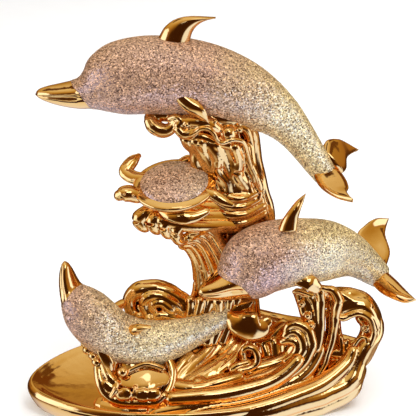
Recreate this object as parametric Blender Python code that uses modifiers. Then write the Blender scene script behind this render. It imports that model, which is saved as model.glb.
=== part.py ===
"""Dolphin figurine: three dolphins and a turtle on breaking waves, cast as one piece.

Run with: blender --background --python part.py
Metres, +Z up. The origin is the centre of the underside, and +X is the viewer's right.
"""

import math

import bmesh
import bpy
from mathutils import Vector

# Driving dimensions
HEIGHT = 0.325  # underside to the tip of the top dolphin's back fin
BASE_LENGTH = 0.272
BASE_DEPTH = 0.148
BASE_YAW = math.radians(10.5)  # the base's right end stands a little further back
BASE_POINT = 0.045  # how far the left end is drawn out, as a share of the length
RIM_FRONT = 0.014  # height of the sea plate's rim at the front
RIM_BACK = 0.026
RIM_ROUND = 0.005  # half thickness of the rolled rim
TOP_LENGTH = 0.263  # each dolphin's body, beak to tail along its back
RIGHT_LENGTH = 0.206
LEFT_LENGTH = 0.176
SHELL_LENGTH = 0.056  # the turtle's shell
SHELL_WIDTH = 0.052
SHELL_RISE = 0.011

# One design unit is a millimetre of a figurine 325 mm tall, so the pose follows HEIGHT.
UNIT = HEIGHT / 325

# Where the middle of the base lies in the design, in metres; it becomes the origin
BASE_PLACE = (-0.002, 0.016)

# Detail of the finished casting
CELL = 1.3 * UNIT
TRIANGLES = 9000
COLLECTION = "dolphin_figurine"

# Body profile as shares of a dolphin's length: place, half height, half width
PROFILE = (
    (0.00, 0.005, 0.006),
    (0.04, 0.023, 0.026),
    (0.11, 0.038, 0.042),
    (0.14, 0.058, 0.058),
    (0.17, 0.078, 0.074),
    (0.24, 0.104, 0.098),
    (0.33, 0.118, 0.110),
    (0.44, 0.116, 0.108),
    (0.54, 0.110, 0.102),
    (0.65, 0.093, 0.085),
    (0.72, 0.076, 0.068),
    (0.79, 0.057, 0.052),
    (0.86, 0.046, 0.042),
    (1.00, 0.036, 0.036),
)


def smooth_path(points, steps):
    """A Catmull-Rom curve through points of any width, with steps samples a span."""
    ends = [points[0]] + list(points) + [points[-1]]
    path = []
    for i in range(len(points) - 1):
        a, b, c, d = ends[i:i + 4]
        for k in range(steps):
            t = k / steps
            path.append(tuple(
                0.5 * (2 * q + (r - p) * t + (2 * p - 5 * q + 4 * r - s) * t * t
                       + (3 * q - p - 3 * r + s) * t ** 3)
                for p, q, r, s in zip(a, b, c, d)
            ))
    path.append(tuple(points[-1]))
    return path


def blend(first, second, t):
    """Two lists of points mixed point by point."""
    return [tuple(a + (b - a) * t for a, b in zip(p, q)) for p, q in zip(first, second)]


def at(path, share):
    """The point of a sampled path at a share of its samples."""
    place = min(max(share, 0.0), 1.0) * (len(path) - 1)
    i = min(int(place), len(path) - 2)
    return blend([path[i]], [path[i + 1]], place - i)[0]


def mesh_object(name, bm):
    """A mesh object in the working collection, with its normals facing out."""
    bmesh.ops.recalc_face_normals(bm, faces=bm.faces)
    mesh = bpy.data.meshes.new(name)
    bm.to_mesh(mesh)
    bm.free()
    obj = bpy.data.objects.new(name, mesh)
    bpy.context.scene.collection.objects.link(obj)
    return obj


def loft(name, rings):
    """A closed skin over rings of equal length, each end capped."""
    bm = bmesh.new()
    rows = [[bm.verts.new(point) for point in ring] for ring in rings]
    for row, following in zip(rows, rows[1:]):
        for i in range(len(row)):
            j = (i + 1) % len(row)
            bm.faces.new((row[i], row[j], following[j], following[i]))
    bm.faces.new(rows[0])
    bm.faces.new(rows[-1])
    return mesh_object(name, bm)


def strand(name, points):
    """A tapering rope of water: a bevelled curve through (x, y, z, radius) design points."""
    curve = bpy.data.curves.new(name, "CURVE")
    curve.dimensions = "3D"
    curve.bevel_depth = 1.0
    curve.bevel_resolution = 3
    curve.use_fill_caps = True
    spline = curve.splines.new("POLY")
    path = smooth_path(points, 6)
    spline.points.add(len(path) - 1)
    for point, (x, y, z, radius) in zip(spline.points, path):
        point.co = (x * UNIT, y * UNIT, z * UNIT, 1)
        point.radius = max(radius, 0.5) * UNIT
    helper = bpy.data.objects.new(name, curve)
    bpy.context.scene.collection.objects.link(helper)
    bpy.context.view_layer.update()
    graph = bpy.context.evaluated_depsgraph_get()
    mesh = bpy.data.meshes.new_from_object(helper.evaluated_get(graph))
    bpy.data.objects.remove(helper)
    bpy.data.curves.remove(curve)
    bm = bmesh.new()
    bm.from_mesh(mesh)
    bpy.data.meshes.remove(mesh)
    bmesh.ops.remove_doubles(bm, verts=bm.verts, dist=1e-6)
    return mesh_object(name, bm)


def family(name, first, second, count, belly=(0, 0, 0)):
    """Ropes of water side by side from one guide to another; belly bows the middle ones."""
    made = []
    for i in range(count):
        t = i / (count - 1)
        bow = math.sin(math.pi * t)
        points = [
            (x + belly[0] * bow, y + belly[1] * bow, z + belly[2] * bow, r)
            for x, y, z, r in blend(first, second, t)
        ]
        made.append(strand(f"{name}_{i}", points))
    return made


def ball(name, x, y, z, size, flat=1.0):
    """A drop of foam at a design point."""
    bm = bmesh.new()
    bmesh.ops.create_icosphere(bm, subdivisions=2, radius=size * UNIT)
    bmesh.ops.scale(bm, vec=(1, 1, flat), verts=bm.verts)
    bmesh.ops.translate(bm, vec=Vector((x, y, z)) * UNIT, verts=bm.verts)
    return mesh_object(name, bm)


def foam(name, points, count):
    """Drops of foam along a path of (x, y, z, radius), alternately larger and smaller."""
    path = smooth_path(points, 8)
    made = []
    for i in range(count):
        x, y, z, size = at(path, i / max(count - 1, 1))
        made.append(ball(f"{name}_{i}", x, y, z, size * (1.12 if i % 2 else 0.92)))
    return made


def curl(centre, start, radius, turns, width, tilt=0.0, taper=0.35):
    """Points of a rope that winds in to a centre; tilt turns its plane about Z."""
    points = []
    steps = max(int(8 * turns), 4)
    for i in range(steps + 1):
        t = i / steps
        angle = start - t * turns * 2 * math.pi
        reach = radius * (1 - 0.8 * t)
        side = reach * math.cos(angle)
        points.append((
            centre[0] + side * math.cos(tilt),
            centre[1] + side * math.sin(tilt),
            centre[2] + reach * math.sin(angle),
            width * (1 - (1 - taper) * t),
        ))
    return points


class Dolphin:
    """A posed body: places on it are given as shares of its length."""

    def __init__(self, spine, length, girth, roll_head, roll_tail):
        self.path = smooth_path([tuple(c * UNIT for c in point) for point in spine], 10)
        self.length = length
        self.girth = girth
        self.rolls = (roll_head, roll_tail)
        heading = Vector(self.path[-1]) - Vector(self.path[0])
        heading.z = 0
        self.level = Vector((0, 0, 1)).cross(heading.normalized())
        steps = [Vector(b) - Vector(a) for a, b in zip(self.path, self.path[1:])]
        self.reached = [0.0]
        for step in steps:
            self.reached.append(self.reached[-1] + step.length)

    def frame(self, share):
        """Centre, direction to the tail, back and far side at a share of the length."""
        inside = min(max(share, 0.0), 1.0)
        target = inside * self.reached[-1]
        i = 0
        while i < len(self.path) - 2 and self.reached[i + 1] < target:
            i += 1
        span = self.reached[i + 1] - self.reached[i]
        centre = Vector(self.path[i]).lerp(Vector(self.path[i + 1]), (target - self.reached[i]) / span)
        low, high = max(i - 2, 0), min(i + 3, len(self.path) - 1)
        along = (Vector(self.path[high]) - Vector(self.path[low])).normalized()
        back = along.cross(self.level).normalized()
        side = back.cross(along)
        roll = self.rolls[0] + (self.rolls[1] - self.rolls[0]) * inside
        turned = back * math.cos(roll) - side * math.sin(roll)
        side = side * math.cos(roll) + back * math.sin(roll)
        return centre + along * (share - inside) * self.length, along, turned, side

    def place(self, share, up, out):
        centre, _, back, side = self.frame(share)
        return centre + (back * up + side * out) * self.length

    def behind(self, reach, up, out, lift):
        """A place on the tail fin, whose plane is lifted from the end of the back."""
        centre, along, back, side = self.frame(0.98)
        ahead = along * math.cos(lift) + back * math.sin(lift)
        top = back * math.cos(lift) - along * math.sin(lift)
        return centre + (ahead * reach + top * up + side * out) * self.length

    def skin(self, share):
        """Half height and half width of the body at a share of its length."""
        row = 0
        while row < len(PROFILE) - 2 and PROFILE[row + 1][0] < share:
            row += 1
        ends = [PROFILE[max(row - 1, 0)], PROFILE[row], PROFILE[row + 1],
                PROFILE[min(row + 2, len(PROFILE) - 1)]]
        t = (share - ends[1][0]) / (ends[2][0] - ends[1][0])
        sizes = []
        for k in (1, 2):
            p, q, r, s = (e[k] for e in ends)
            sizes.append(0.5 * (2 * q + (r - p) * t + (2 * p - 5 * q + 4 * r - s) * t * t
                                + (3 * q - p - 3 * r + s) * t ** 3))
        return sizes[0] * self.girth, sizes[1] * self.girth

    def body(self, name, rows=30, sides=20):
        rings = []
        for i in range(rows + 1):
            share = i / rows
            tall, wide = self.skin(share)
            angles = [2 * math.pi * k / sides for k in range(sides)]
            rings.append([self.place(share, tall * math.cos(a), wide * math.sin(a)) for a in angles])
        return loft(name, rings)


def blade(name, lead, trail, thickness, rows=7):
    """A fin between two edges that meet at its tip: lens sections, thinner outwards."""
    front = smooth_path([tuple(p) for p in lead], 6)
    rear = smooth_path([tuple(p) for p in trail], 6)
    tip = Vector(front[-1])
    across = (Vector(lead[0]) - Vector(trail[0])).cross(tip - Vector(lead[0])).normalized()
    rings = []
    for i in range(rows + 1):
        t = 0.985 * i / rows
        a, b = Vector(at(front, t)), Vector(at(rear, t))
        half = thickness * (1 - 0.75 * t) / 2
        ring = []
        for k in range(10):
            angle = 2 * math.pi * k / 10
            middle = a.lerp(b, 0.5 - 0.5 * math.cos(angle))
            ring.append(middle + across * half * math.sin(angle))
        rings.append(ring)
    return loft(name, rings)


def back_fin(dolphin, name, start, chord, tip, rise):
    """The curved fin on a dolphin's back."""
    tall = dolphin.skin(start)[0] * 0.8
    root = dolphin.skin(start)[0]
    lead = [(start, tall, 0), (start + 0.3 * chord, root + 0.45 * rise, 0),
            (start + 0.8 * chord, root + 0.85 * rise, 0), (tip, root + rise, 0)]
    trail = [(start + chord, tall, 0), (start + 1.05 * chord, root + 0.3 * rise, 0),
             (start + 1.25 * chord, root + 0.72 * rise, 0), (tip, root + rise, 0)]
    thick = dolphin.length * 0.045
    return blade(name, [dolphin.place(*p) for p in lead], [dolphin.place(*p) for p in trail], thick)


def flipper(dolphin, name, side, start=0.42, chord=0.065, reach=0.15, turn=0.2, flare=0.03):
    """A breast flipper swept back along the body; side is -1 for the near one.

    turn is how far round from the flank the root lies, and flare how far the tip stands off."""
    def spot(share, around, off):
        tall, wide = dolphin.skin(share)
        return dolphin.place(share, -(tall + off) * math.sin(around), side * (wide + off) * math.cos(around))

    tip = spot(start + reach, turn + 0.5, flare)
    lead = [spot(start, turn, -0.02), spot(start + 0.35 * reach, turn + 0.3, flare * 0.5), tip]
    trail = [spot(start + chord, turn - 0.05, -0.02), spot(start + 0.8 * reach, turn + 0.15, flare * 0.6), tip]
    return blade(name, lead, trail, dolphin.length * 0.035)


def fluke(dolphin, name, side, span=0.15, lift=0.0):
    """One lobe of the tail fin."""
    lead = [(-0.05, 0), (-0.035, 0.45 * span), (0.0, 0.85 * span), (0.06, 1.02 * span), (0.125, span)]
    trail = [(0.075, -0.008), (0.085, 0.35 * span), (0.075, 0.7 * span), (0.125, span)]
    edges = [[dolphin.behind(reach, 0, side * out, lift) for reach, out in edge] for edge in (lead, trail)]
    return blade(name, *edges, dolphin.length * 0.04)


def top_dolphin():
    spine = [(-129, 8, 262), (-86, 8, 268), (-35, 8, 277), (16, 8, 270), (64, 8, 243), (97, 8, 200)]
    dolphin = Dolphin(spine, TOP_LENGTH, 1.0, 0.0, math.radians(12))
    lift = math.radians(36)
    return [
        dolphin.body("top_body"),
        back_fin(dolphin, "top_back_fin", 0.375, 0.09, 0.512, 0.079),
        flipper(dolphin, "top_near_flipper", -1),
        flipper(dolphin, "top_far_flipper", 1),
        fluke(dolphin, "top_near_fluke", -1, 0.155, lift),
        fluke(dolphin, "top_far_fluke", 1, 0.155, lift),
    ]


def right_dolphin():
    spine = [(-1, -48, 116), (25, -36, 126), (56, -21, 136), (89, -4, 135), (122, 16, 123), (146, 32, 101)]
    dolphin = Dolphin(spine, RIGHT_LENGTH, 1.18, math.radians(8), math.radians(32))
    lift = math.radians(66)
    return [
        dolphin.body("right_body"),
        back_fin(dolphin, "right_back_fin", 0.375, 0.075, 0.475, 0.165),
        flipper(dolphin, "right_near_flipper", -1),
        flipper(dolphin, "right_far_flipper", 1),
        fluke(dolphin, "right_near_fluke", -1, 0.24, lift),
        fluke(dolphin, "right_far_fluke", 1, 0.24, lift),
    ]


def left_dolphin():
    spine = [(-108, -22, 133), (-100, -24, 105), (-85, -23, 82), (-65, -21, 66), (-37, -18, 60),
             (-4, -12, 68), (21, -4, 79)]
    dolphin = Dolphin(spine, LEFT_LENGTH, 1.04, math.radians(42), math.radians(42))
    lift = math.radians(-10)
    return [
        dolphin.body("left_body"),
        back_fin(dolphin, "left_back_fin", 0.46, 0.09, 0.6, 0.06),
        flipper(dolphin, "left_near_flipper", -1, 0.36, 0.07, 0.16, -0.25, 0.04),
        flipper(dolphin, "left_far_flipper", 1, 0.34, 0.07, 0.15, -0.35, 0.12),
        fluke(dolphin, "left_near_fluke", -1, 0.14, lift),
        fluke(dolphin, "left_far_fluke", 1, 0.14, lift),
    ]


def turtle():
    """A domed shell over a flat body, with a head and four flippers, lying on the middle crest."""
    length, width, rise = SHELL_LENGTH / 2, SHELL_WIDTH / 2, SHELL_RISE
    centre = Vector((-20, -12, 194)) * UNIT
    yaw, nod, lean = math.radians(14), math.radians(-8), math.radians(20)

    def spot(x, y, z):
        """A point given in shell half lengths and half widths, posed."""
        point = Vector((x * length, y * width, z * UNIT))
        point = Vector((point.x, point.y * math.cos(lean) - point.z * math.sin(lean),
                        point.y * math.sin(lean) + point.z * math.cos(lean)))
        point = Vector((point.x * math.cos(nod) + point.z * math.sin(nod), point.y,
                        point.z * math.cos(nod) - point.x * math.sin(nod)))
        return centre + Vector((point.x * math.cos(yaw) - point.y * math.sin(yaw),
                                point.x * math.sin(yaw) + point.y * math.cos(yaw), point.z))

    def dome(name, low, high, size):
        rings = []
        for i in range(9):
            lift = -1 + 2 * i / 8
            reach = size * math.sqrt(max(1 - lift * lift, 0.004))
            height = lift * (high if lift > 0 else -low)
            rings.append([spot(reach * math.cos(a), reach * math.sin(a), height)
                          for a in [2 * math.pi * k / 24 for k in range(24)]])
        return loft(name, rings)

    def paddle(name, root_a, bend_a, tip, bend_b, root_b, thick):
        return blade(name, [spot(*root_a), spot(*bend_a), spot(*tip)],
                     [spot(*root_b), spot(*bend_b), spot(*tip)], thick * UNIT)

    head = [(-0.7, -0.1, -3), (-1.0, -0.12, -3), (-1.25, -0.15, -2), (-1.5, -0.18, -2), (-1.68, -0.2, -3)]
    sizes = (6.0, 6.0, 7.2, 7.0, 3.5)
    neck = [(*(c / UNIT for c in spot(*p)), size) for p, size in zip(head, sizes)]
    return [
        dome("turtle_shell", -6, rise / UNIT, 1.0),
        dome("turtle_rim", -7, 3, 1.08),
        strand("turtle_head", neck),
        paddle("turtle_front_far", (-0.85, 0.3, -1), (-1.4, 0.75, 8), (-0.72, 1.3, 8),
               (-1.0, 0.9, 7), (-0.65, 0.6, -1), 6),
        paddle("turtle_front_near", (-0.75, -0.6, -4), (-0.3, -1.5, -7), (1.0, -1.35, -9),
               (0.3, -1.0, -6), (0.0, -0.8, -4), 6),
        paddle("turtle_rear_far", (0.5, 0.6, -2), (0.7, 1.1, 2), (1.2, 1.25, 3),
               (1.1, 0.8, 0), (0.9, 0.4, -2), 6),
        paddle("turtle_rear_near", (0.5, -0.8, -4), (1.0, -1.2, -6), (1.8, -1.15, -9),
               (1.3, -0.8, -5), (0.85, -0.5, -4), 6),
    ]


def sea_plate():
    """The low dished base: an oval, drawn out at the left, whose rim rises towards the back."""
    half_long, half_deep = BASE_LENGTH / 2, BASE_DEPTH / 2
    # reach, lift and share of the rim's height, from the foot over the rim to the middle
    rows = (
        (0.89, -4 * UNIT, 0.0), (0.90, 0.0, 0.0), (0.935, 0.0, 0.2), (0.97, 0.0, 0.5), (1.0, 0.0, 0.85),
        (0.985, RIM_ROUND * 0.6, 0.95), (0.95, RIM_ROUND * 0.2, 0.98), (0.86, -RIM_ROUND * 0.6, 0.95),
        (0.6, -RIM_ROUND, 0.85), (0.2, -RIM_ROUND, 0.8),
    )
    rings = []
    for reach, lift, share in rows:
        ring = []
        for k in range(72):
            angle = 2 * math.pi * k / 72
            out = reach * (1 - 0.05 * math.cos(angle) * (1 - share))
            out *= 1 + BASE_POINT * max(-math.cos(angle), 0) ** 14
            x, y = half_long * out * math.cos(angle), half_deep * out * math.sin(angle)
            rise = 0.5 + 0.5 * math.sin(angle) * reach
            rim = RIM_FRONT + (RIM_BACK - RIM_FRONT) * rise ** 1.3
            ring.append((x * math.cos(BASE_YAW) - y * math.sin(BASE_YAW) + BASE_PLACE[0],
                         x * math.sin(BASE_YAW) + y * math.cos(BASE_YAW) + BASE_PLACE[1],
                         rim * share + lift))
        rings.append(ring)
    return [loft("sea_plate", rings)]


def swell():
    """The low mass of water that carries the waves."""
    parts = []
    for name, x, y, long, deep, high in (("swell_right", 42, 14, 76, 52, 30), ("swell_stem", 18, 20, 42, 34, 48)):
        bm = bmesh.new()
        bmesh.ops.create_uvsphere(bm, u_segments=32, v_segments=16, radius=1)
        bmesh.ops.scale(bm, vec=(long * UNIT, deep * UNIT, high * UNIT), verts=bm.verts)
        bmesh.ops.translate(bm, vec=(x * UNIT, y * UNIT, 0), verts=bm.verts)
        parts.append(mesh_object(name, bm))
    return parts


def front_sweep():
    """Long ropes that leave the plate at the front left and run round to the right."""
    low = [(-30, -50, 12, 5), (32, -47, 16, 7), (76, -33, 15, 7), (104, -14, 17, 8), (124, 4, 24, 8),
           (135, 14, 38, 8)]
    middle = [(-26, -42, 18, 4), (32, -40, 23, 6), (62, -32, 26, 6), (88, -20, 32, 6), (105, -12, 46, 5),
              (112, -8, 60, 4)]
    hook = [(-22, -36, 21, 4), (20, -38, 25, 5), (50, -33, 28, 5), (68, -27, 30, 5), (81, -22, 41, 5),
            (88, -17, 53, 4), (90, -15, 64, 4), (84, -14, 71, 4), (75, -15, 71, 3), (71, -16, 66, 3)]
    rim = [(x - 6, y + 3, z + 1, 0.7 * r) for x, y, z, r in hook[3:]]
    band = [(x + 6, y - 1, z - 4, r) for x, y, z, r in hook[:7]]
    return family("outer_sweep", low, middle, 4) + [
        strand("hook", hook), strand("hook_rim", rim), strand("hook_band", band)]


def wave_fan():
    """Ribs that fan from the front left up to a rolled lip behind the left dolphin's tail."""
    left = [(-30, -40, 18, 5), (-8, -28, 38, 6), (8, -14, 52, 6), (20, 0, 65, 5), (26, 12, 69, 4)]
    right = [(8, -40, 20, 5), (28, -34, 35, 6), (42, -24, 41, 6), (50, -12, 47, 5), (54, 0, 50, 4)]
    lip = [(24, -2, 68, 3), (31, -4, 60, 3), (39, -6, 55, 3), (48, -6, 53, 3), (56, -8, 54, 3)]
    return family("fan", left, right, 6, (4, -2, -6)) + [strand("fan_lip", lip)]


def right_curl():
    """The tall wave at the right: a shell of ropes that bends over towards the front."""
    front = [(104, -14, 26, 5), (124, -10, 31, 5), (140, -3, 43, 5), (146, 0, 60, 5), (141, 0, 77, 5),
             (129, 0, 84, 4), (118, -1, 83, 4), (111, -2, 79, 3)]
    rear = [(110, 20, 20, 9), (131, 16, 24, 8), (141, 19, 42, 8), (144, 20, 58, 8), (141, 20, 74, 8),
            (132, 18, 84, 8), (118, 12, 92, 7), (104, 2, 93, 6)]
    ring = curl((131, -2, 47), 0.5, 7, 0.9, 3)
    drops = [(140, -3, 64, 4), (137, -4, 56, 4), (126, -6, 37, 6), (118, -10, 35, 6)]
    return family("right_shell", front, rear, 4, (2, 0, 2)) + [strand("right_ring", ring)] + foam(
        "right_foam", drops, 4)


def belly_crest():
    """Ribs that climb to the right dolphin's belly, beside a thick band with a small ring."""
    inner = [(77, -20, 28, 5), (91, -17, 42, 5), (96, -12, 56, 4), (96, -8, 70, 4), (91, -8, 84, 4),
             (86, -10, 95, 4)]
    outer = [(87, -20, 24, 5), (99, -16, 40, 4), (104, -10, 56, 4), (106, -6, 72, 4), (103, -6, 86, 4),
             (99, -8, 97, 4)]
    band = [(83, -26, 19, 4), (97, -20, 32, 4), (106, -13, 49, 4), (112, -9, 67, 4), (115, -7, 83, 4),
            (113, -7, 94, 4), (105, -7, 99, 4)]
    behind = [(97, 2, 34, 9), (101, 6, 56, 8), (102, 6, 76, 8), (99, 2, 94, 7)]
    lumps = [(79, -13, 97, 5), (87, -12, 100, 6), (98, -10, 100, 6)]
    return (family("crest_rib", inner, outer, 3) + [strand("crest_band", band), strand("crest_back", behind)]
            + foam("crest_foam", lumps, 3))


def back_wall():
    """The sheet of water at the back, plainer, and the saddle between the column and the right wave."""
    low = [(-92, 44, 12, 4), (-76, 54, 16, 8), (-30, 66, 16, 10), (30, 70, 16, 10), (78, 62, 16, 10),
           (108, 40, 16, 8), (120, 26, 12, 4)]
    high = [(-74, 34, 14, 4), (-58, 44, 24, 7), (-24, 52, 34, 8), (30, 56, 32, 8), (76, 50, 32, 8),
            (108, 34, 38, 8), (130, 22, 40, 6)]
    saddle = [(34, 40, 62, 8), (54, 41, 60, 6), (72, 37, 60, 6), (88, 24, 62, 7), (98, 8, 64, 7)]
    return family("back_wall", low, high, 5) + [strand("saddle", saddle)]


def stem():
    """The fluted column of water, twisting as it climbs."""
    core = [(20, 34, 0, 32), (21, 32, 30, 27), (22, 28, 60, 23), (23, 23, 90, 20), (24, 20, 118, 20),
            (26, 20, 150, 20), (26, 20, 180, 18), (23, 18, 208, 18), (18, 13, 230, 16), (14, 10, 246, 12)]
    flutes = 9
    made = [strand("stem_core", core)]
    for i in range(flutes):
        points = []
        for k, (x, y, z, r) in enumerate(core):
            angle = 2 * math.pi * i / flutes + 0.11 * k
            points.append((x + r * 1.18 * math.cos(angle), y + r * 0.95 * math.sin(angle), z, 0.36 * r))
        made.append(strand(f"stem_flute_{i}", points))
    return made


def top_crest():
    """The crest under the top dolphin: ropes rolling over to the left and the front."""
    left = [(8, 14, 205, 7), (2, 10, 222, 7), (-8, 6, 234, 7), (-22, 3, 240, 8), (-34, 1, 236, 8)]
    front = [(26, 4, 205, 6), (26, -2, 222, 6), (22, -8, 234, 6), (12, -14, 238, 6), (4, -14, 232, 5)]
    right = [(38, 10, 205, 6), (40, 8, 220, 6), (38, 4, 232, 6), (32, -2, 238, 6), (26, -8, 234, 5)]
    lumps = [(-34, 0, 234, 10), (-24, -4, 236, 8), (-12, -8, 237, 7), (0, -12, 236, 7), (12, -14, 236, 7)]
    parts = family("crest_left", left, front, 4) + family("crest_right", front, right, 3)
    return parts + foam("top_foam", lumps, 5) + [ball("crest_ball", 22, -8, 240, 9)]


def turtle_shelf():
    """The middle crest that carries the turtle, edged with foam, and the arch under it."""
    far = [(24, 8, 176, 9), (6, 4, 176, 9), (-12, 0, 178, 9), (-28, -2, 178, 8), (-38, -6, 172, 6)]
    near = [(30, -2, 150, 8), (16, -10, 158, 8), (0, -18, 163, 8), (-18, -22, 166, 7), (-32, -22, 164, 6)]
    arch_a = [(-14, -20, 156, 6), (2, -14, 152, 6), (16, -8, 140, 6), (24, -4, 122, 6)]
    arch_b = [(-18, -10, 156, 6), (-12, -4, 146, 6), (-6, 4, 132, 6), (-2, 10, 112, 6)]
    drops = [(-44, -8, 166, 8), (-34, -16, 163, 7), (-24, -22, 160, 7), (-12, -25, 157, 7)]
    return family("shelf", far, near, 4) + family("arch", arch_a, arch_b, 4) + foam("shelf_foam", drops, 4)


def left_curl():
    """The small wave rolled up behind the left dolphin."""
    made = []
    for i in range(4):
        depth = 4 + 8 * i
        size = 20 - 1.2 * i
        rope = [(10, depth + 4, 30, 8), (0, depth + 2, 54, 7), (-12, depth, 72, 6)]
        rope += curl((-41, depth, 76), math.radians(35), size, -1.15, 6)
        made.append(strand(f"left_curl_{i}", rope))
    fill = [(-46, 8, 78, 12), (-37, 18, 74, 16), (-41, 27, 76, 11)]
    foot = [(-34, 15, 70, 15), (-32, 14, 44, 18), (-26, 12, 14, 22)]
    return made + [strand("left_curl_core", fill), strand("left_curl_foot", foot)]


def splash():
    """The cup of foam that lifts the left dolphin off the plate."""
    cup = [(-55, -20, 0, 17), (-55, -20, 10, 20), (-56, -19, 24, 24), (-57, -18, 36, 22), (-58, -18, 48, 14)]
    chain = [(-88, -22, 52, 6), (-84, -25, 43, 6), (-79, -30, 36, 6), (-74, -34, 32, 6)]
    strand_right = [(-28, -18, 48, 5), (-24, -22, 34, 6), (-27, -30, 20, 6), (-40, -38, 8, 5)]
    ring = [(-78, -34, 26, 6), (-68, -40, 18, 6), (-52, -42, 15, 6), (-36, -38, 18, 6)]
    rim = [(-72, -38, 34, 4), (-58, -43, 33, 4), (-44, -42, 36, 4), (-32, -32, 38, 5)]
    parts = [strand("splash_cup", cup), strand("splash_right", strand_right), strand("splash_rim", rim)]
    return parts + foam("splash_chain", chain, 5) + foam("splash_ring", ring, 5)


def gold_material():
    material = bpy.data.materials.new("gold_lustre")
    material.use_nodes = True
    shader = material.node_tree.nodes["Principled BSDF"]
    shader.inputs["Base Color"].default_value = (0.83, 0.52, 0.17, 1)
    shader.inputs["Metallic"].default_value = 1.0
    shader.inputs["Roughness"].default_value = 0.12
    return material


def evaluated_mesh(obj, name):
    """The object's mesh with its modifiers worked in."""
    bpy.context.view_layer.update()
    graph = bpy.context.evaluated_depsgraph_get()
    mesh = bpy.data.meshes.new_from_object(obj.evaluated_get(graph))
    mesh.name = name
    return mesh


def joined(parts, name):
    """One mesh object from many, in place of them."""
    bm = bmesh.new()
    for part in parts:
        bm.from_mesh(part.data)
        bpy.data.objects.remove(part)
    mesh = bpy.data.meshes.new(name)
    bm.to_mesh(mesh)
    bm.free()
    obj = bpy.data.objects.new(name, mesh)
    bpy.context.scene.collection.objects.link(obj)
    return obj


def drop_crumbs(bm):
    """Keeps the largest connected piece, without the specks that the coarser skin leaves."""
    left, pieces = set(bm.verts), []
    while left:
        reached = [left.pop()]
        for vertex in reached:
            for edge in vertex.link_edges:
                other = edge.other_vert(vertex)
                if other in left:
                    left.remove(other)
                    reached.append(other)
        pieces.append(reached)
    pieces.sort(key=len)
    for piece in pieces[:-1]:
        bmesh.ops.delete(bm, geom=piece, context="VERTS")


def cast(parts, name, collection):
    """Fuses the parts as clay, takes the sharp steps off and cuts the underside flat."""
    raw = joined(parts, "raw")
    fuse = raw.modifiers.new("fuse", "REMESH")
    fuse.mode = "VOXEL"
    fuse.voxel_size = CELL
    soften = raw.modifiers.new("soften", "SMOOTH")
    soften.factor = 0.5
    soften.iterations = 3
    bm = bmesh.new()
    bm.from_mesh(evaluated_mesh(raw, "fused"))
    bpy.data.objects.remove(raw)
    cut = bmesh.ops.bisect_plane(
        bm, geom=bm.verts[:] + bm.edges[:] + bm.faces[:], plane_co=(0, 0, 0), plane_no=(0, 0, 1),
        clear_inner=True)
    rim = [edge for edge in cut["geom_cut"] if isinstance(edge, bmesh.types.BMEdge)]
    bmesh.ops.edgeloop_fill(bm, edges=rim)
    bmesh.ops.triangulate(bm, faces=bm.faces)
    faces = len(bm.faces)
    fused = mesh_object("fused", bm)
    fewer = fused.modifiers.new("fewer", "DECIMATE")
    fewer.ratio = min(TRIANGLES / faces, 1.0)
    bm = bmesh.new()
    bm.from_mesh(evaluated_mesh(fused, "coarse"))
    bpy.data.objects.remove(fused)
    drop_crumbs(bm)
    for vertex in bm.verts:
        vertex.co.x -= BASE_PLACE[0]
        vertex.co.y -= BASE_PLACE[1]
        if vertex.co.z < 0.3 * UNIT:
            vertex.co.z = 0.0
    mesh = bpy.data.meshes.new(name)
    bm.to_mesh(mesh)
    bm.free()
    mesh.materials.append(gold_material())
    obj = bpy.data.objects.new(name, mesh)
    collection.objects.link(obj)


def main():
    for obj in list(bpy.data.objects):
        bpy.data.objects.remove(obj)
    collection = bpy.data.collections.new(COLLECTION)
    bpy.context.scene.collection.children.link(collection)
    parts = sea_plate() + swell() + front_sweep() + wave_fan() + right_curl() + belly_crest()
    parts += back_wall() + stem() + top_crest() + turtle_shelf() + left_curl() + splash()
    parts += top_dolphin() + right_dolphin() + left_dolphin() + turtle()
    cast(parts, COLLECTION, collection)


main()
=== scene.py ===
"""Looks of the dolphin figurine: mirror gold waves, glitter-coated bodies and a pale studio."""

import random
from math import cos, exp, hypot, pi, radians, sin, sqrt

import bmesh
import bpy
from mathutils import Matrix, Vector


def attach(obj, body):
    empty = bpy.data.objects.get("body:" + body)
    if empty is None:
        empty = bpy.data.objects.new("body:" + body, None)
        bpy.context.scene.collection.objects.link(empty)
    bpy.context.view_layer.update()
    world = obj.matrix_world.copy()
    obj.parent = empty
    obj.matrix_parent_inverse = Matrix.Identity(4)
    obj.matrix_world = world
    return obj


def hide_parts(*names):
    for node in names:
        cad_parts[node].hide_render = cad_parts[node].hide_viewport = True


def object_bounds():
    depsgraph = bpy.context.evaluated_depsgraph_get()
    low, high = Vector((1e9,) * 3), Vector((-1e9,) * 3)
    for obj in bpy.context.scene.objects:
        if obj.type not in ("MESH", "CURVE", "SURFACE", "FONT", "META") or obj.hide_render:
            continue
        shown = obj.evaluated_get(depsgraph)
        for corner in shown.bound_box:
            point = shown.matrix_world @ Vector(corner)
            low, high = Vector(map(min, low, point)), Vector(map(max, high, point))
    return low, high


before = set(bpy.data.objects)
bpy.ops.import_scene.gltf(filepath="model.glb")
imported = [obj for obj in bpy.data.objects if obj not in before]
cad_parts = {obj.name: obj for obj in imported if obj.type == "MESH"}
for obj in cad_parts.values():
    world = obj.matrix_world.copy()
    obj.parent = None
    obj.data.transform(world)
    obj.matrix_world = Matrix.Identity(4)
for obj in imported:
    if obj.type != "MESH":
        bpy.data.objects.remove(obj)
CAD_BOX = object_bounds()

# The design is drawn in millimetres of a figurine 325 mm tall, as the solid is
NODE = "dolphin_figurine"
DESIGN_HEIGHT = 325
UNIT = CAD_BOX[1].z / DESIGN_HEIGHT
BASE_PLACE = Vector((-2, 16, 0))  # the base's middle in the design; it is the frame's origin

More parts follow.
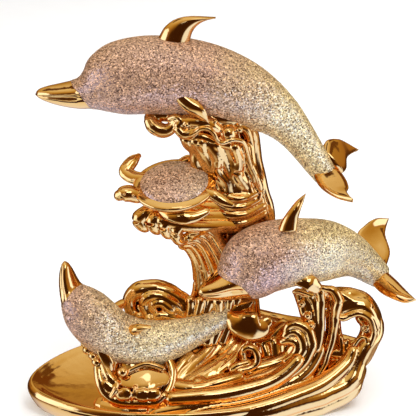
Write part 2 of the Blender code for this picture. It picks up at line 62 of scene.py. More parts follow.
BASE_LENGTH = 272
BASE_DEPTH = 148
BASE_YAW = radians(10.5)
BASE_POINT = 0.045  # how far the left end is drawn out, as a share of half the length
POINT_SHARPNESS = 14
RIM_FRONT = 14
RIM_BACK = 26
RIM_ROUND = 5  # depth of the dish below the rim
RIM_CLIMB = 1.3  # above 1 the rim climbs late, near the back
TOP_LENGTH = 263
RIGHT_LENGTH = 206
LEFT_LENGTH = 176
SHELL_LENGTH = 56
SHELL_WIDTH = 52
SHELL_RISE = 11
FLUTES = 13  # ropes around the column
END_TURNS = (0.0, 0.5, 0.95, 1.4)  # the rings that round off a rope's end, as angles
FOOT = 0.02  # where fused pieces are cut flat

# Finish
COAT = 0.35  # thickness of the glitter coat over the glaze
GRAIN = 0.85  # size of a glitter flake
WANDER = 0.3  # how far the line between two colours of glitter wanders
FLAKE_TILT = 0.4  # how far the faces of the flakes turn from the skin
GOLD = (0.97, 0.53, 0.15)
POOLED_GOLD = (0.9312, 0.477, 0.117)
MAUVE = (0.55, 0.325, 0.2)
CHAMPAGNE = (0.83, 0.64, 0.32)
LEFT_CHAMPAGNE = (0.84, 0.66, 0.35)
SHELL_TAN = (0.6, 0.41, 0.26)
# Random tones of the glitter flakes: the low stops are dark and light grains, the stops above white are
# painted glints on the brightest flakes
FLAKE_TONES_AND_GLINTS = (
    (0.0, (0.12, 0.08, 0.06)),
    (0.14, (0.4, 0.35, 0.32)),
    (0.32, (0.78, 0.76, 0.75)),
    (0.7, (1.06, 1.06, 1.06)),
    (0.88, (1.45, 1.44, 1.4)),
    (1.0, (2.1, 2.1, 2.0)),
)

# Mouth line and eyes: millimetres, angles around the body or shares of its length
MOUTH_DEPTH = 1.2
MOUTH_ANGLE = 0.56 * pi  # from the top of the beak
MOUTH_SPREAD = 0.1
EYE_BEHIND = 0.055  # behind the beak's edge
CHEEK_RADIUS = 0.09
EYE_DEPTH = 1.3
EYE_WIDTH = 1.7
EYE_RING = 3.2
EYE_RING_RISE = 0.5
EYE_RING_WIDTH = 1.1

# Camera, from the photo's vanishing lines
SENSOR = 36
ELEVATION = radians(20)
DISTANCE = 1300
TARGET = Vector((6.4, 0, 170))
FIELD = 166.4  # half of the width that the frame covers at the target

# Surround that the gold mirrors: colour by height of the look, from straight down to straight up
SKY = (
    (-1.0, (0.95, 1.25, 2.2)),
    (-0.8, (0.85, 1.0, 1.4)),
    (-0.55, (0.3, 0.2, 0.08)),
    (-0.25, (0.06, 0.028, 0.01)),
    (0.0, (0.14, 0.065, 0.018)),
    (0.15, (0.36, 0.21, 0.06)),
    (0.45, (0.46, 0.34, 0.11)),
    (0.7, (0.62, 0.56, 0.36)),
    (1.0, (0.85, 0.95, 1.1)),
)
# Soft panels and dark gaps: direction, half angles of the core and of the edge, colour
PANELS = (
    ((0.0, -1.0, 0.12), 21, 44, (0.045, 0.018, 0.005)),
    ((-0.95, -0.25, 0.04), 20, 27, (1.4, 1.9, 3.6)),
    ((0.95, -0.15, -0.05), 17, 23, (1.4, 1.9, 3.6)),
    ((0.62, -0.42, -0.66), 25, 33, (0.98, 1.4, 3.0)),
    ((-0.7, -0.5, -0.5), 8, 12, (0.95, 1.2, 1.8)),
    ((0.4, -0.62, 0.66), 9, 13, (2.6, 3.2, 5.5)),
    ((-0.55, -0.7, 0.5), 8, 12, (2.2, 2.8, 4.8)),
    ((0.0, -0.4, 0.92), 6, 9, (1.6, 2.0, 3.4)),
    ((0.12, 0.3, 1.0), 9, 13, (0.09, 0.04, 0.012)),
    ((-0.5, 0.3, 0.8), 7, 10, (0.12, 0.06, 0.02)),
    ((0.3, 0.82, 0.5), 8, 15, (0.15, 0.06, 0.015)),
    ((0.7, 0.5, 0.55), 8, 12, (0.14, 0.07, 0.024)),
    ((-0.6, 0.6, 0.25), 6, 12, (0.2, 0.1, 0.03)),
    ((-0.55, -0.36, -0.76), 10, 15, (0.05, 0.02, 0.006)),
)
SWIRL = 0.3  # how far the edges of those panels wander

# Studio, in metres and watts
FLOOR_REACH = 6.0
PALE_ROOM = (0.8, 0.79, 0.78, 1)  # the surround for all but reflections
LAMP_AIM = Vector((0, 0, 0.15))
# name, place, size, power
LAMPS = (
    ("key", (0.5, -0.5, 1.3), 0.7, 9.0),
    ("fill", (-1.0, -0.8, 0.9), 0.9, 7.0),
    ("rim", (0.4, 1.2, 1.2), 0.8, 8.0),
)

# Body profile as shares of a dolphin's length: place, height above and below the spine, half width
PROFILE = (
    (0.000, 0.002, 0.002, 0.003),
    (0.005, 0.009, 0.007, 0.010),
    (0.013, 0.015, 0.015, 0.017),
    (0.037, 0.020, 0.029, 0.029),
    (0.067, 0.022, 0.042, 0.039),
    (0.096, 0.024, 0.052, 0.046),
    (0.126, 0.027, 0.060, 0.053),
    (0.140, 0.033, 0.062, 0.059),
    (0.155, 0.048, 0.063, 0.066),
    (0.178, 0.080, 0.067, 0.078),
    (0.217, 0.104, 0.083, 0.093),
    (0.258, 0.117, 0.099, 0.104),
    (0.331, 0.121, 0.110, 0.111),
    (0.440, 0.117, 0.115, 0.108),
    (0.540, 0.110, 0.110, 0.102),
    (0.650, 0.098, 0.098, 0.089),
    (0.720, 0.084, 0.084, 0.074),
    (0.790, 0.067, 0.067, 0.060),
    (0.860, 0.053, 0.053, 0.048),
    (1.000, 0.038, 0.038, 0.038),
)


# Paths and meshes, all in design millimetres

def catmull(p, q, r, s, t):
    """The value at t between q and r, on a smooth curve that also knows the values before and after them."""
    square, cube = 2 * p - 5 * q + 4 * r - s, 3 * q - p - 3 * r + s
    return 0.5 * (2 * q + (r - p) * t + square * t * t + cube * t ** 3)


def smooth_path(points, steps):
    """A Catmull-Rom curve through points of any width, with steps samples a span."""
    ends = [points[0]] + list(points) + [points[-1]]
    path = []
    for i in range(len(points) - 1):
        for k in range(steps):
            path.append(tuple(catmull(*values, k / steps) for values in zip(*ends[i:i + 4])))
    path.append(tuple(points[-1]))
    return path


def blend(first, second, t):
    """Two lists of points mixed point by point."""
    return [tuple(a + (b - a) * t for a, b in zip(p, q)) for p, q in zip(first, second)]


def at(path, share):
    """The point of a sampled path at a share of its samples."""
    place = min(max(share, 0.0), 1.0) * (len(path) - 1)
    i = min(int(place), len(path) - 2)
    return blend([path[i]], [path[i + 1]], place - i)[0]


def around(count):
    """Angles evenly spaced round a circle."""
    return [2 * pi * k / count for k in range(count)]


def add_loft(bm, rings):
    """A closed skin over rings of equal length, each end capped."""
    rows = [[bm.verts.new(point) for point in ring] for ring in rings]
    for row, following in zip(rows, rows[1:]):
        for i in range(len(row)):
            j = (i + 1) % len(row)
            bm.faces.new((row[i], row[j], following[j], following[i]))
    bm.faces.new(rows[0])
    bm.faces.new(rows[-1])


def add_rope(bm, points, steps=6, sides=20, flat=1.0, over=Vector((0, 0, 1)), sink=0.0):
    """A rope of water with round ends through (x, y, z, radius).

    flat below 1 makes a band that faces along over.
    sink sets it back from the viewer and thickens it as much, so that neighbours meet in shallow grooves.
    """
    back, down = sink * cos(ELEVATION), sink * sin(ELEVATION)
    path = smooth_path([(x, y + back, z - down, r + sink) for x, y, z, r in points], steps)
    last = len(path) - 1
    rings = []
    for i, (x, y, z, radius) in enumerate(path):
        ahead = Vector(path[min(i + 1, last)][:3]) - Vector(path[max(i - 1, 0)][:3])
        ahead.normalize()
        side = ahead.cross(over)
        side = side.normalized() if side.length > 1e-3 else Vector((1, 0, 0))
        top = side.cross(ahead)
        size = max(radius, 0.35)
        turns = (0.0,)
        if i == 0:
            turns = [-turn for turn in reversed(END_TURNS)]
        elif i == last:
            turns = END_TURNS
        for turn in turns:
            centre = Vector((x, y, z)) + ahead * size * sin(turn)
            reach = size * cos(turn)
            across, tall = side * reach, top * reach * flat
            rings.append([centre + across * cos(a) + tall * sin(a) for a in around(sides)])
    add_loft(bm, rings)


def add_family(bm, first, second, count, belly=(0, 0, 0), uneven=0.0, sway=0.0, seed=1, **style):
    """Ropes of water side by side from one guide to another; belly bows the middle ones."""
    draw = random.Random(seed)
    for i in range(count):
        t = i / (count - 1)
        bow = sin(pi * t)
        grow = 1 + uneven * draw.uniform(-1, 1)
        points = []
        for x, y, z, r in blend(first, second, t):
            points.append((
                x + belly[0] * bow + sway * draw.uniform(-1, 1),
                y + belly[1] * bow + sway * draw.uniform(-0.5, 0.5),
                z + belly[2] * bow,
                r * grow,
            ))
        add_rope(bm, points, **style)


def add_ropes(bm, *guides, **style):
    """A rope of water along each guide."""
    for guide in guides:
        add_rope(bm, guide, **style)


def add_balls(bm, *balls):
    """Drops of foam at (x, y, z, radius)."""
    for x, y, z, size in balls:
        made = bmesh.ops.create_icosphere(bm, subdivisions=3, radius=size)["verts"]
        bmesh.ops.translate(bm, vec=(x, y, z), verts=made)


def add_foam(bm, points, count, seed):
    """Drops of foam of uneven size along a path of (x, y, z, radius)."""
    draw = random.Random(seed)
    path = smooth_path(points, 8)
    for i in range(count):
        x, y, z, size = at(path, i / (count - 1))
        add_balls(bm, (x, y, z, size * draw.uniform(0.85, 1.15)))


def curl(centre, start, radius, turns, width, tilt=0.0, taper=0.35, tight=0.8):
    """Points of a rope that winds in to a centre; tilt turns its plane about Z."""
    points = []
    steps = max(int(8 * abs(turns)), 4)
    for i in range(steps + 1):
        t = i / steps
        angle = start - t * turns * 2 * pi
        reach = radius * (1 - tight * t)
        side = reach * cos(angle)
        points.append((
            centre[0] + side * cos(tilt),
            centre[1] + side * sin(tilt),
            centre[2] + reach * sin(angle),
            width * (1 - (1 - taper) * t),
        ))
    return points


def add_object(name, data):
    """A new object in the scene."""
    made = bpy.data.objects.new(name, data)
    bpy.context.scene.collection.objects.link(made)
    return made


def make_piece(name, bm, material):
    """A finished piece in metres in the frame, smooth shaded, riding on the root body."""
    for vertex in bm.verts:
        vertex.co = (vertex.co - BASE_PLACE) * UNIT
    bmesh.ops.recalc_face_normals(bm, faces=bm.faces)
    mesh = bpy.data.meshes.new(name)
    bm.to_mesh(mesh)
    bm.free()
    mesh.polygons.foreach_set("use_smooth", [True] * len(mesh.polygons))
    mesh.materials.append(material)
    piece = add_object(name, mesh)
    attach(piece, "root")
    return piece


def fused(bm, cell, rounds, keep):
    """The overlapping closed skins in bm as one smooth skin, like clay pressed together, cut flat underneath.

    cell is the size of the skin's mesh and rounds how often it is smoothed. keep is the share of its
    triangles that stays: flat stretches give theirs up first.
    """
    mesh = bpy.data.meshes.new("clay")
    bm.to_mesh(mesh)
    bm.free()
    clay = add_object("clay", mesh)
    fuse = clay.modifiers.new("fuse", "REMESH")
    fuse.mode = "VOXEL"
    fuse.voxel_size = cell
    soften = clay.modifiers.new("soften", "SMOOTH")
    soften.factor = 0.5
    soften.iterations = rounds
    thin = clay.modifiers.new("thin", "DECIMATE")
    thin.ratio = keep
    bpy.context.view_layer.update()
    skin = bpy.data.meshes.new_from_object(clay.evaluated_get(bpy.context.evaluated_depsgraph_get()))
    bpy.data.objects.remove(clay)
    bpy.data.meshes.remove(mesh)
    made = bmesh.new()
    made.from_mesh(skin)
    bpy.data.meshes.remove(skin)
    whole = made.verts[:] + made.edges[:] + made.faces[:]
    up = (0, 0, 1)
    cut = bmesh.ops.bisect_plane(made, geom=whole, plane_co=(0, 0, FOOT), plane_no=up, clear_inner=True)
    rim = [edge for edge in cut["geom_cut"] if isinstance(edge, bmesh.types.BMEdge)]
    if rim:
        bmesh.ops.edgeloop_fill(made, edges=rim)
    return made


def loft_piece(name, rings, material):
    """A piece that is one closed skin over rings."""
    bm = bmesh.new()
    add_loft(bm, rings)
    make_piece(name, bm, material)


def cast(wave, gold, cell, rounds=2, keep=0.6):
    """A gold piece fused from the ropes that a wave's function adds; it takes the function's name."""
    bm = bmesh.new()
    wave(bm)
    return make_piece(wave.__name__, fused(bm, cell, rounds, keep), gold)


# Materials

def fill(tree, node, inputs):
    """Gives each input of a node its value, or a link from the socket that feeds it."""
    for entry, value in inputs.items():
        if isinstance(value, bpy.types.NodeSocket):
            tree.links.new(value, node.inputs[entry])
        else:
            node.inputs[entry].default_value = value


def feed(tree, kind, output, inputs=None, **settings):
    """One output of a new node."""
    node = tree.nodes.new("ShaderNode" + kind)
    for name, value in settings.items():
        setattr(node, name, value)
    fill(tree, node, inputs or {})
    return node.outputs[output]


def noise(tree, place, scale, detail, output="Fac"):
    """Cloudy noise over a place."""
    return feed(tree, "TexNoise", output, {"Vector": place, "Scale": scale, "Detail": detail})


def spread(tree, value, low, high):
    """A value from 0 to 1 as one from low to high."""
    return feed(tree, "MapRange", "Result", {"Value": value, "To Min": low, "To Max": high})


def jitter(tree, place, colour, most):
    """A place moved by a random colour, by up to half of most along each axis."""
    shift = {0: colour, 1: (most,) * 3, 2: (-most / 2,) * 3}
    centred = feed(tree, "VectorMath", "Vector", shift, operation="MULTIPLY_ADD")
    return feed(tree, "VectorMath", "Vector", {0: place, 1: centred}, operation="ADD")


def mix(tree, share, first, second, kind="MIX"):
    """Two colours mixed by a share."""
    return feed(tree, "Mix", 2, {"Factor": share, 6: first, 7: second}, data_type="RGBA", blend_type=kind)


def ramp(tree, value, stops):
    """A value turned into a colour by stops of (value, colour)."""
    node = tree.nodes.new("ShaderNodeValToRGB")
    while len(node.color_ramp.elements) < len(stops):
        node.color_ramp.elements.new(0.5)
    for element, (place, colour) in zip(node.color_ramp.elements, stops):
        element.position = place
        element.color = (*colour, 1)
    fill(tree, node, {"Fac": value})
    return node.outputs["Color"]


def new_material(name):
    """A new material and its node tree."""
    material = bpy.data.materials.new(name)
    material.use_nodes = True
    return material, material.node_tree


def gold_material():
    """Bright gold plate over glaze: slight pooling of colour and a faint ripple."""
    material, tree = new_material("gold_lustre")
    place = feed(tree, "TexCoord", "Object")
    ripple = {"Strength": 0.35, "Distance": 0.0006, "Height": noise(tree, place, 110.0, 1.5)}
    fill(tree, tree.nodes["Principled BSDF"], {
        "Metallic": 1.0,
        "Base Color": ramp(tree, noise(tree, place, 38.0, 3.0), ((0.3, POOLED_GOLD), (0.7, GOLD))),
        "Roughness": spread(tree, noise(tree, place, 240.0, 2.0), 0.05, 0.13),
        "Normal": feed(tree, "Bump", "Normal", ripple),
    })
    return material


def glitter_material(name, head, tail, start, end):
    """Fine glitter in a satin coat, its colour turned from head to tail between two shares of the width; its
    brightest flakes carry painted glints.
    """
    material, tree = new_material(name)
    place = feed(tree, "TexCoord", "Object")
    across = feed(tree, "SeparateXYZ", "X", {"Vector": feed(tree, "TexCoord", "Generated")})
    # The noise adds half of WANDER on average, and the stops move up by as much
    drift = {0: noise(tree, place, 26.0, 4.0), 1: WANDER, 2: across}
    wander = feed(tree, "Math", "Value", drift, operation="MULTIPLY_ADD")
    body = ramp(tree, wander, ((start + WANDER / 2, head), (end + WANDER / 2, tail)))
    flakes = feed(tree, "TexVoronoi", "Color", {"Vector": place, "Scale": 1 / (GRAIN * UNIT)})
    parts = ("Red", "Green", "Blue")
    # Each flake picks a random tone; the brightest of them, above white, are painted glints
    tone_and_glint, shine, dull = (feed(tree, "SeparateColor", part, {"Color": flakes}) for part in parts)
    facing = jitter(tree, feed(tree, "NewGeometry", "Normal"), flakes, FLAKE_TILT)
    fill(tree, tree.nodes["Principled BSDF"], {
        "Coat Weight": 0.12,
        "Coat Roughness": 0.22,
        "Base Color": mix(tree, 1.0, body, ramp(tree, tone_and_glint, FLAKE_TONES_AND_GLINTS), "MULTIPLY"),
        "Metallic": spread(tree, shine, 0.15, 0.85),
        "Roughness": spread(tree, dull, 0.3, 0.55),
        "Normal": feed(tree, "VectorMath", "Vector", {0: facing}, operation="NORMALIZE"),
    })
    return material


def paper_material():
    """Pale paper with a faint fibre."""
    material, tree = new_material("paper")
    fibre = feed(tree, "TexNoise", "Fac", {"Scale": 300.0})
    fill(tree, tree.nodes["Principled BSDF"], {
        "Roughness": 0.9,
        "Base Color": ramp(tree, fibre, ((0.0, (0.9, 0.895, 0.885)), (1.0, (0.94, 0.935, 0.925)))),
    })
    return material


# Dolphins

class Dolphin:
    """A posed body: places on it are given as shares of its length.

    jaw deepens the head below and stock thickens the tail, both as shares of the plain profile.
    """

    def __init__(self, spine, length, girth, roll_head, roll_tail, jaw=0.0, stock=0.0):
        self.path = smooth_path(spine, 10)
        self.length = length
        self.girth = girth
        self.jaw = jaw
        self.stock = stock
        self.rolls = (roll_head, roll_tail)
        heading = Vector(self.path[-1]) - Vector(self.path[0])
        heading.z = 0
        self.level = Vector((0, 0, 1)).cross(heading.normalized())
        self.reached = [0.0]
        for a, b in zip(self.path, self.path[1:]):
            self.reached.append(self.reached[-1] + (Vector(b) - Vector(a)).length)

    def place(self, share, up, out):
        """The point at a share of the length, up towards the back and out to the far side."""
        inside = min(max(share, 0.0), 1.0)
        target = inside * self.reached[-1]
        i = 0
        while i < len(self.path) - 2 and self.reached[i + 1] < target:
            i += 1
        span = self.reached[i + 1] - self.reached[i]
        centre = Vector(self.path[i]).lerp(Vector(self.path[i + 1]), (target - self.reached[i]) / span)
        low, high = max(i - 2, 0), min(i + 3, len(self.path) - 1)
        along = (Vector(self.path[high]) - Vector(self.path[low])).normalized()
        back = along.cross(self.level).normalized()
        side = back.cross(along)
        roll = self.rolls[0] + (self.rolls[1] - self.rolls[0]) * inside
        turned = back * cos(roll) - side * sin(roll)
        side = side * cos(roll) + back * sin(roll)
        return centre + along * (share - inside) * self.length + (turned * up + side * out) * self.length

    def skin(self, share):
        """Height above and below the spine and half width of the body at a share of its length."""
        row = 0
        while row < len(PROFILE) - 2 and PROFILE[row + 1][0] < share:
            row += 1
        before, here, there = PROFILE[max(row - 1, 0)], PROFILE[row], PROFILE[row + 1]
        after = PROFILE[min(row + 2, len(PROFILE) - 1)]
        span = there[0] - here[0]
        t = (share - here[0]) / span
        sizes = []
        for k in (1, 2, 3):
            leaving = (there[k] - before[k]) / (there[0] - before[0]) * span
            arriving = (after[k] - here[k]) / (after[0] - here[0]) * span
            sizes.append(self.girth * (
                (2 * t ** 3 - 3 * t * t + 1) * here[k] + (t ** 3 - 2 * t * t + t) * leaving
                + (3 * t * t - 2 * t ** 3) * there[k] + (t ** 3 - t * t) * arriving))
        sizes[1] *= 1 + self.jaw * min(max((0.32 - share) / 0.14, 0), 1)
        thicker = 1 + self.stock * min(max((share - 0.55) / 0.3, 0), 1)
        return [size * thicker for size in sizes]

    def rings(self, first, last, coat, rows, dent, sides=72):
        """Rings from one end line to another; an end line is its share and its slope along the flank.

        dent gives how far the skin stands out at a share and an angle.
        """
        made = []
        for i in range(rows + 1):
            t = i / rows
            ring = []
            for a in around(sides):
                share = (first[0] + first[1] * cos(a)) * (1 - t) + (last[0] + last[1] * cos(a)) * t
                above, below, wide = self.skin(share)
                tall = above if cos(a) > 0 else below
                grow = (coat + dent(share, a)) / self.length
                ring.append(self.place(share, (tall + grow) * cos(a), (wide + grow) * sin(a)))
            made.append(ring)
        return made


def add_blade(bm, lead, trail, thickness, rows=26, sides=20, cup=0.0):
    """A fin between two edges that meet at its tip: lens sections, thinner outwards."""
    front = smooth_path([tuple(p) for p in lead], 8)
    rear = smooth_path([tuple(p) for p in trail], 8)
    tip = Vector(front[-1])
    across = (Vector(lead[0]) - Vector(trail[0])).cross(tip - Vector(lead[0])).normalized()
    rings = []
    for i in range(rows + 1):
        t = 0.99 * i / rows
        a, b = Vector(at(front, t)), Vector(at(rear, t))
        half = thickness * (1 - 0.75 * t) / 2
        ring = []
        for angle in around(sides):
            share = 0.5 - 0.5 * cos(angle)
            bend = cup * sin(pi * share) * (a - b).length
            ring.append(a.lerp(b, share) + across * (half * sin(angle) + bend))
        rings.append(ring)
    add_loft(bm, rings)


def add_back_fin(bm, dolphin, start, chord, tip, rise):
    """The curved fin on a dolphin's back."""
    root = dolphin.skin(start)[0]
    tall = root * 0.8
    lead = [(start, tall, 0), (start + 0.3 * chord, root + 0.45 * rise, 0),
            (start + 0.8 * chord, root + 0.85 * rise, 0), (tip, root + rise, 0)]
    trail = [(start + chord, tall, 0), (start + 1.05 * chord, root + 0.3 * rise, 0),
             (start + 1.25 * chord, root + 0.72 * rise, 0), (tip, root + rise, 0)]
    edges = [[dolphin.place(*p) for p in edge] for edge in (lead, trail)]
    add_blade(bm, *edges, dolphin.length * 0.06)


def add_flipper(bm, dolphin, side, start=0.42, chord=0.065, reach=0.15, turn=0.2, flare=0.03):
    """A breast flipper swept back along the body; side is -1 for the near one."""
    def spot(share, lower, off):
        """A point off the flank; lower is its angle from the middle of the flank towards the belly."""
        _, tall, wide = dolphin.skin(share)
        return dolphin.place(share, -(tall + off) * sin(lower), side * (wide + off) * cos(lower))

    tip = spot(start + reach, turn + 0.5, flare)
    root = -0.02
    lead = [spot(start, turn, root), spot(start + 0.35 * reach, turn + 0.3, flare * 0.5), tip]
    trail = [spot(start + chord, turn - 0.05, root), spot(start + 0.8 * reach, turn + 0.15, flare * 0.6), tip]
    add_blade(bm, lead, trail, dolphin.length * 0.035)


def add_lobe(bm, dolphin, lead, trail, cup):
    """One lobe of a tail fin between two edges of (x, y, z) that meet at its tip."""
    add_blade(bm, lead, trail, dolphin.length * 0.05, cup=cup)


def add_leaf(bm, _, points, rise=0.45, flat=0.35):
    """A leaf-shaped fin along a path of (x, y, z, half width); it faces the viewer and, by rise, upwards."""
    add_rope(bm, points, steps=10, sides=24, flat=flat, over=Vector((0, -0.9, rise)))


def dress_dolphin(name, dolphin, edge, gold, coat, fins):
    """The gold beak with its mouth line, the glitter body and the gold fins of one dolphin."""
    def mouth(share, angle):
        """A shallow groove along each side of the beak."""
        off = min(abs(angle - MOUTH_ANGLE), abs(angle - (2 * pi - MOUTH_ANGLE)))
        fade = min(max((edge[0] + 0.02 - share) / 0.03, 0), 1) * min(share / 0.03, 1)
        return -MOUTH_DEPTH * exp(-(off / MOUTH_SPREAD) ** 2) * fade

    def eye(share, angle):
        """A dimple with a raised ring on each cheek."""
        across = (abs(sin((angle - pi * 0.5) / 2)), abs(sin((angle - pi * 1.5) / 2)))
        off = dolphin.length * hypot(share - edge[0] - EYE_BEHIND, min(across) * 2 * CHEEK_RADIUS)
        dimple = EYE_DEPTH * exp(-(off / EYE_WIDTH) ** 2)
        return EYE_RING_RISE * exp(-((off - EYE_RING) / EYE_RING_WIDTH) ** 2) - dimple

    beak = dolphin.rings((0.0, 0.0), (edge[0] + 0.03, edge[1]), 0.0, 90, mouth)
    loft_piece(name + "_beak", beak, gold)
    loft_piece(name + "_body", dolphin.rings(edge, (1.02, 0.0), COAT, 150, eye), coat)
    trim = bmesh.new()
    for add, values in fins:
        add(trim, dolphin, *values)
    make_piece(name + "_fins", trim, gold)


def top_dolphin(gold, coat):
    """The large dolphin that leaps off the top crest to the left."""
    spine = [(-129, 8, 262), (-86, 8, 268), (-35, 8, 277), (16, 8, 270), (64, 8, 243), (97, 8, 200)]
    dolphin = Dolphin(spine, TOP_LENGTH, 1.0, 0.0, radians(12))
    fins = (
        (add_back_fin, (0.375, 0.09, 0.512, 0.079)),
        (add_flipper, (-1,)),
        (add_flipper, (1,)),
        (add_lobe, ([(97, 10, 214), (101, 20, 220), (109, 28, 219), (117, 36, 214), (129, 44, 204)],
                    [(113, 6, 197), (117, 14, 198), (118, 24, 203), (122, 34, 204), (129, 44, 204)], 0.1)),
        (add_lobe, ([(90, 2, 199), (93, -8, 194), (99, -18, 191), (108, -28, 189), (119, -36, 189)],
                    [(112, 6, 198), (116, -6, 195), (117, -16, 193), (115, -26, 192),
                     (119, -36, 189)], -0.1)),
    )
    dress_dolphin("top_dolphin", dolphin, (0.1415, -0.0265), gold, coat, fins)


def right_dolphin(gold, coat):
    """The dolphin over the right wave, its tail away from the viewer."""
    spine = [(-1, -48, 116), (25, -36, 126), (56, -21, 136), (89, -4, 135), (122, 16, 123), (146, 32, 101)]
    dolphin = Dolphin(spine, RIGHT_LENGTH, 1.18, radians(8), radians(32), 0.35, 0.22)
    fins = (
        (add_lobe, ([(61, -30, 162), (64, -29, 170), (70, -28, 179), (76, -26, 186), (83, -24, 191)],
                    [(76, -30, 162), (77, -29, 171), (79, -28, 179), (81, -26, 184), (83, -24, 191)], 0)),
        (add_leaf, ([(71, -29, 118, 0.8), (76, -31, 120, 4), (82, -32, 120, 5.5), (88, -32, 118, 6.5),
                     (93, -29, 113, 5)],)),
        (add_flipper, (1,)),
        (add_lobe, ([(146, 34, 110), (131, 44, 128), (139, 54, 136), (149, 63, 138), (160, 72, 134)],
                    [(154, 32, 105), (159, 45, 114), (156, 57, 124), (157, 65, 128), (160, 72, 134)], 0.12)),
        (add_lobe, ([(152, 32, 105), (161, 18, 101), (169, 2, 97), (172, -5, 96), (175, -11, 95)],
                    [(141, 28, 94), (149, 15, 90), (157, 5, 89), (167, -4, 89), (175, -11, 95)], -0.1)),
    )
    dress_dolphin("right_dolphin", dolphin, (0.168, -0.052), gold, coat, fins)


def left_dolphin(gold, coat):
    """The small dolphin on the splash, its beak straight up."""
    spine = [(-108, -22, 133), (-100, -24, 105), (-85, -23, 82), (-65, -21, 66), (-37, -18, 60),
             (-4, -12, 68), (21, -4, 79)]
    dolphin = Dolphin(spine, LEFT_LENGTH, 1.04, radians(42), radians(42), stock=0.25)
    fins = (
        (add_back_fin, (0.46, 0.09, 0.6, 0.06)),
        (add_leaf, ([(-81, -36, 66, 0.8), (-79, -37, 62, 3.6), (-76, -38, 56, 4.4), (-73, -38, 48, 4.2),
                     (-71, -37, 39, 1)],)),
        (add_flipper, (1, 0.34, 0.07, 0.15, -0.35, 0.12)),
        (add_leaf, ([(24, -12, 80, 5), (30, -14, 76, 10), (37, -15, 74, 12), (43, -15, 73, 12.5),
                     (49, -14, 73, 10.5), (54, -13, 76, 5)], 0.15)),
        (add_leaf, ([(26, -8, 84, 3), (31, -7, 87, 5.5), (37, -6, 89, 5), (41, -6, 91, 2.2)],)),
    )
    dress_dolphin("left_dolphin", dolphin, (0.16, -0.03), gold, coat, fins)


# Turtle

def turtle(gold, coat):
    """A glitter shell over a gold rim, head and flippers."""
    length, width = SHELL_LENGTH / 2, SHELL_WIDTH / 2
    centre = Vector((-20, -12, 194))
    yaw, nod, lean = radians(14), radians(-8), radians(20)
    pose = Matrix.Rotation(yaw, 3, "Z") @ Matrix.Rotation(nod, 3, "Y") @ Matrix.Rotation(lean, 3, "X")

    def dome(low, high, size, rows=28, sides=72):
        """Rings of an oval, size times as wide as the shell, that bulges down to low and up to high."""
        rings = []
        for i in range(rows + 1):
            lift = sin(-pi / 2 + pi * i / rows)
            reach = size * sqrt(max(1 - lift * lift, 0.0004))
            height = lift * (high if lift > 0 else -low)
            ring = []
            for angle in around(sides):
                point = (reach * cos(angle) * length, reach * sin(angle) * width, height)
                ring.append(centre + pose @ Vector(point))
            rings.append(ring)
        return rings

    loft_piece("turtle_shell", dome(-6, SHELL_RISE, 1.0), coat)
    trim = bmesh.new()
    add_loft(trim, dome(-12, 5, 1.18))
    head = [(-42, -16, 188, 6), (-49, -18, 187, 6.2), (-55, -19, 189, 6.8), (-60, -20, 189, 6.4),
            (-63, -20.5, 188, 4.6)]
    add_rope(trim, head, sides=28, steps=10)
    add_balls(trim, (-59, -26, 191, 1.3), (-52, -25.5, 190, 1.3))
    boomerang = [(-45, -4, 196, 5), (-53, 0, 196, 5.6), (-59, 4, 199, 5.6), (-57, 7, 203, 5.4),
                 (-53, 10, 207, 4.6), (-49, 12, 210, 2.2)]
    leaf = [(-31, -26, 179, 3), (-23, -31, 176, 5.5), (-13, -33, 175, 6.5), (-4, -32, 175, 5),
            (5, -30, 178, 3)]
    rear = [(4, -22, 192, 3), (11, -25, 190, 4.2), (18, -27, 186, 3.8), (25, -28, 183, 2)]
    knee = [(-16, 8, 204, 4), (-9, 10, 207, 4.5), (-2, 9, 205, 3.5)]
    for points, flat in ((boomerang, 0.6), (leaf, 0.5), (rear, 0.6)):
        add_leaf(trim, None, points, flat=flat)
    add_rope(trim, knee, steps=10, sides=24)
    make_piece("turtle_trim", trim, gold)


# Waves

def sea_plate(gold):
    """The low dished base: an oval, drawn out at the left, whose rim rises towards the back."""
    turn = Matrix.Rotation(BASE_YAW, 3, "Z")
    # reach, lift and share of the rim's height, from the foot over the rim to the middle
    rows = ((0.86, 0.0, 0.0), (0.90, 0.0, 0.0), (0.92, 0.2, 0.08), (0.935, 0.0, 0.2), (0.97, 0.0, 0.5),
            (1.0, 0.0, 0.85), (0.985, RIM_ROUND * 0.6, 0.95), (0.95, RIM_ROUND * 0.2, 0.98),
            (0.86, -RIM_ROUND * 0.6, 0.95), (0.6, -RIM_ROUND, 0.85), (0.2, -RIM_ROUND, 0.8))
    rings = []
    for reach, lift, share in smooth_path(rows, 6):
        ring = []
        for angle in around(240):
            out = reach * (1 - 0.05 * cos(angle) * (1 - share))
            out *= 1 + BASE_POINT * max(-cos(angle), 0) ** POINT_SHARPNESS
            x, y = BASE_LENGTH / 2 * out * cos(angle), BASE_DEPTH / 2 * out * sin(angle)
            rise = max(0.5 + 0.5 * sin(angle) * reach, 0.0)
            rim = RIM_FRONT + (RIM_BACK - RIM_FRONT) * rise ** RIM_CLIMB
            ring.append(turn @ Vector((x, y, max(rim * share + lift, 0.0))) + BASE_PLACE)
        rings.append(ring)
    loft_piece("sea_plate", rings, gold)


def swell(bm):
    """The low mass of water that carries the waves."""
    for x, y, long, deep, high in ((42, 14, 76, 52, 30), (18, 20, 42, 34, 48)):
        made = bmesh.ops.create_uvsphere(bm, u_segments=64, v_segments=32, radius=1)["verts"]
        bmesh.ops.scale(bm, vec=(long, deep, high), verts=made)
        bmesh.ops.translate(bm, vec=(x, y, 0), verts=made)


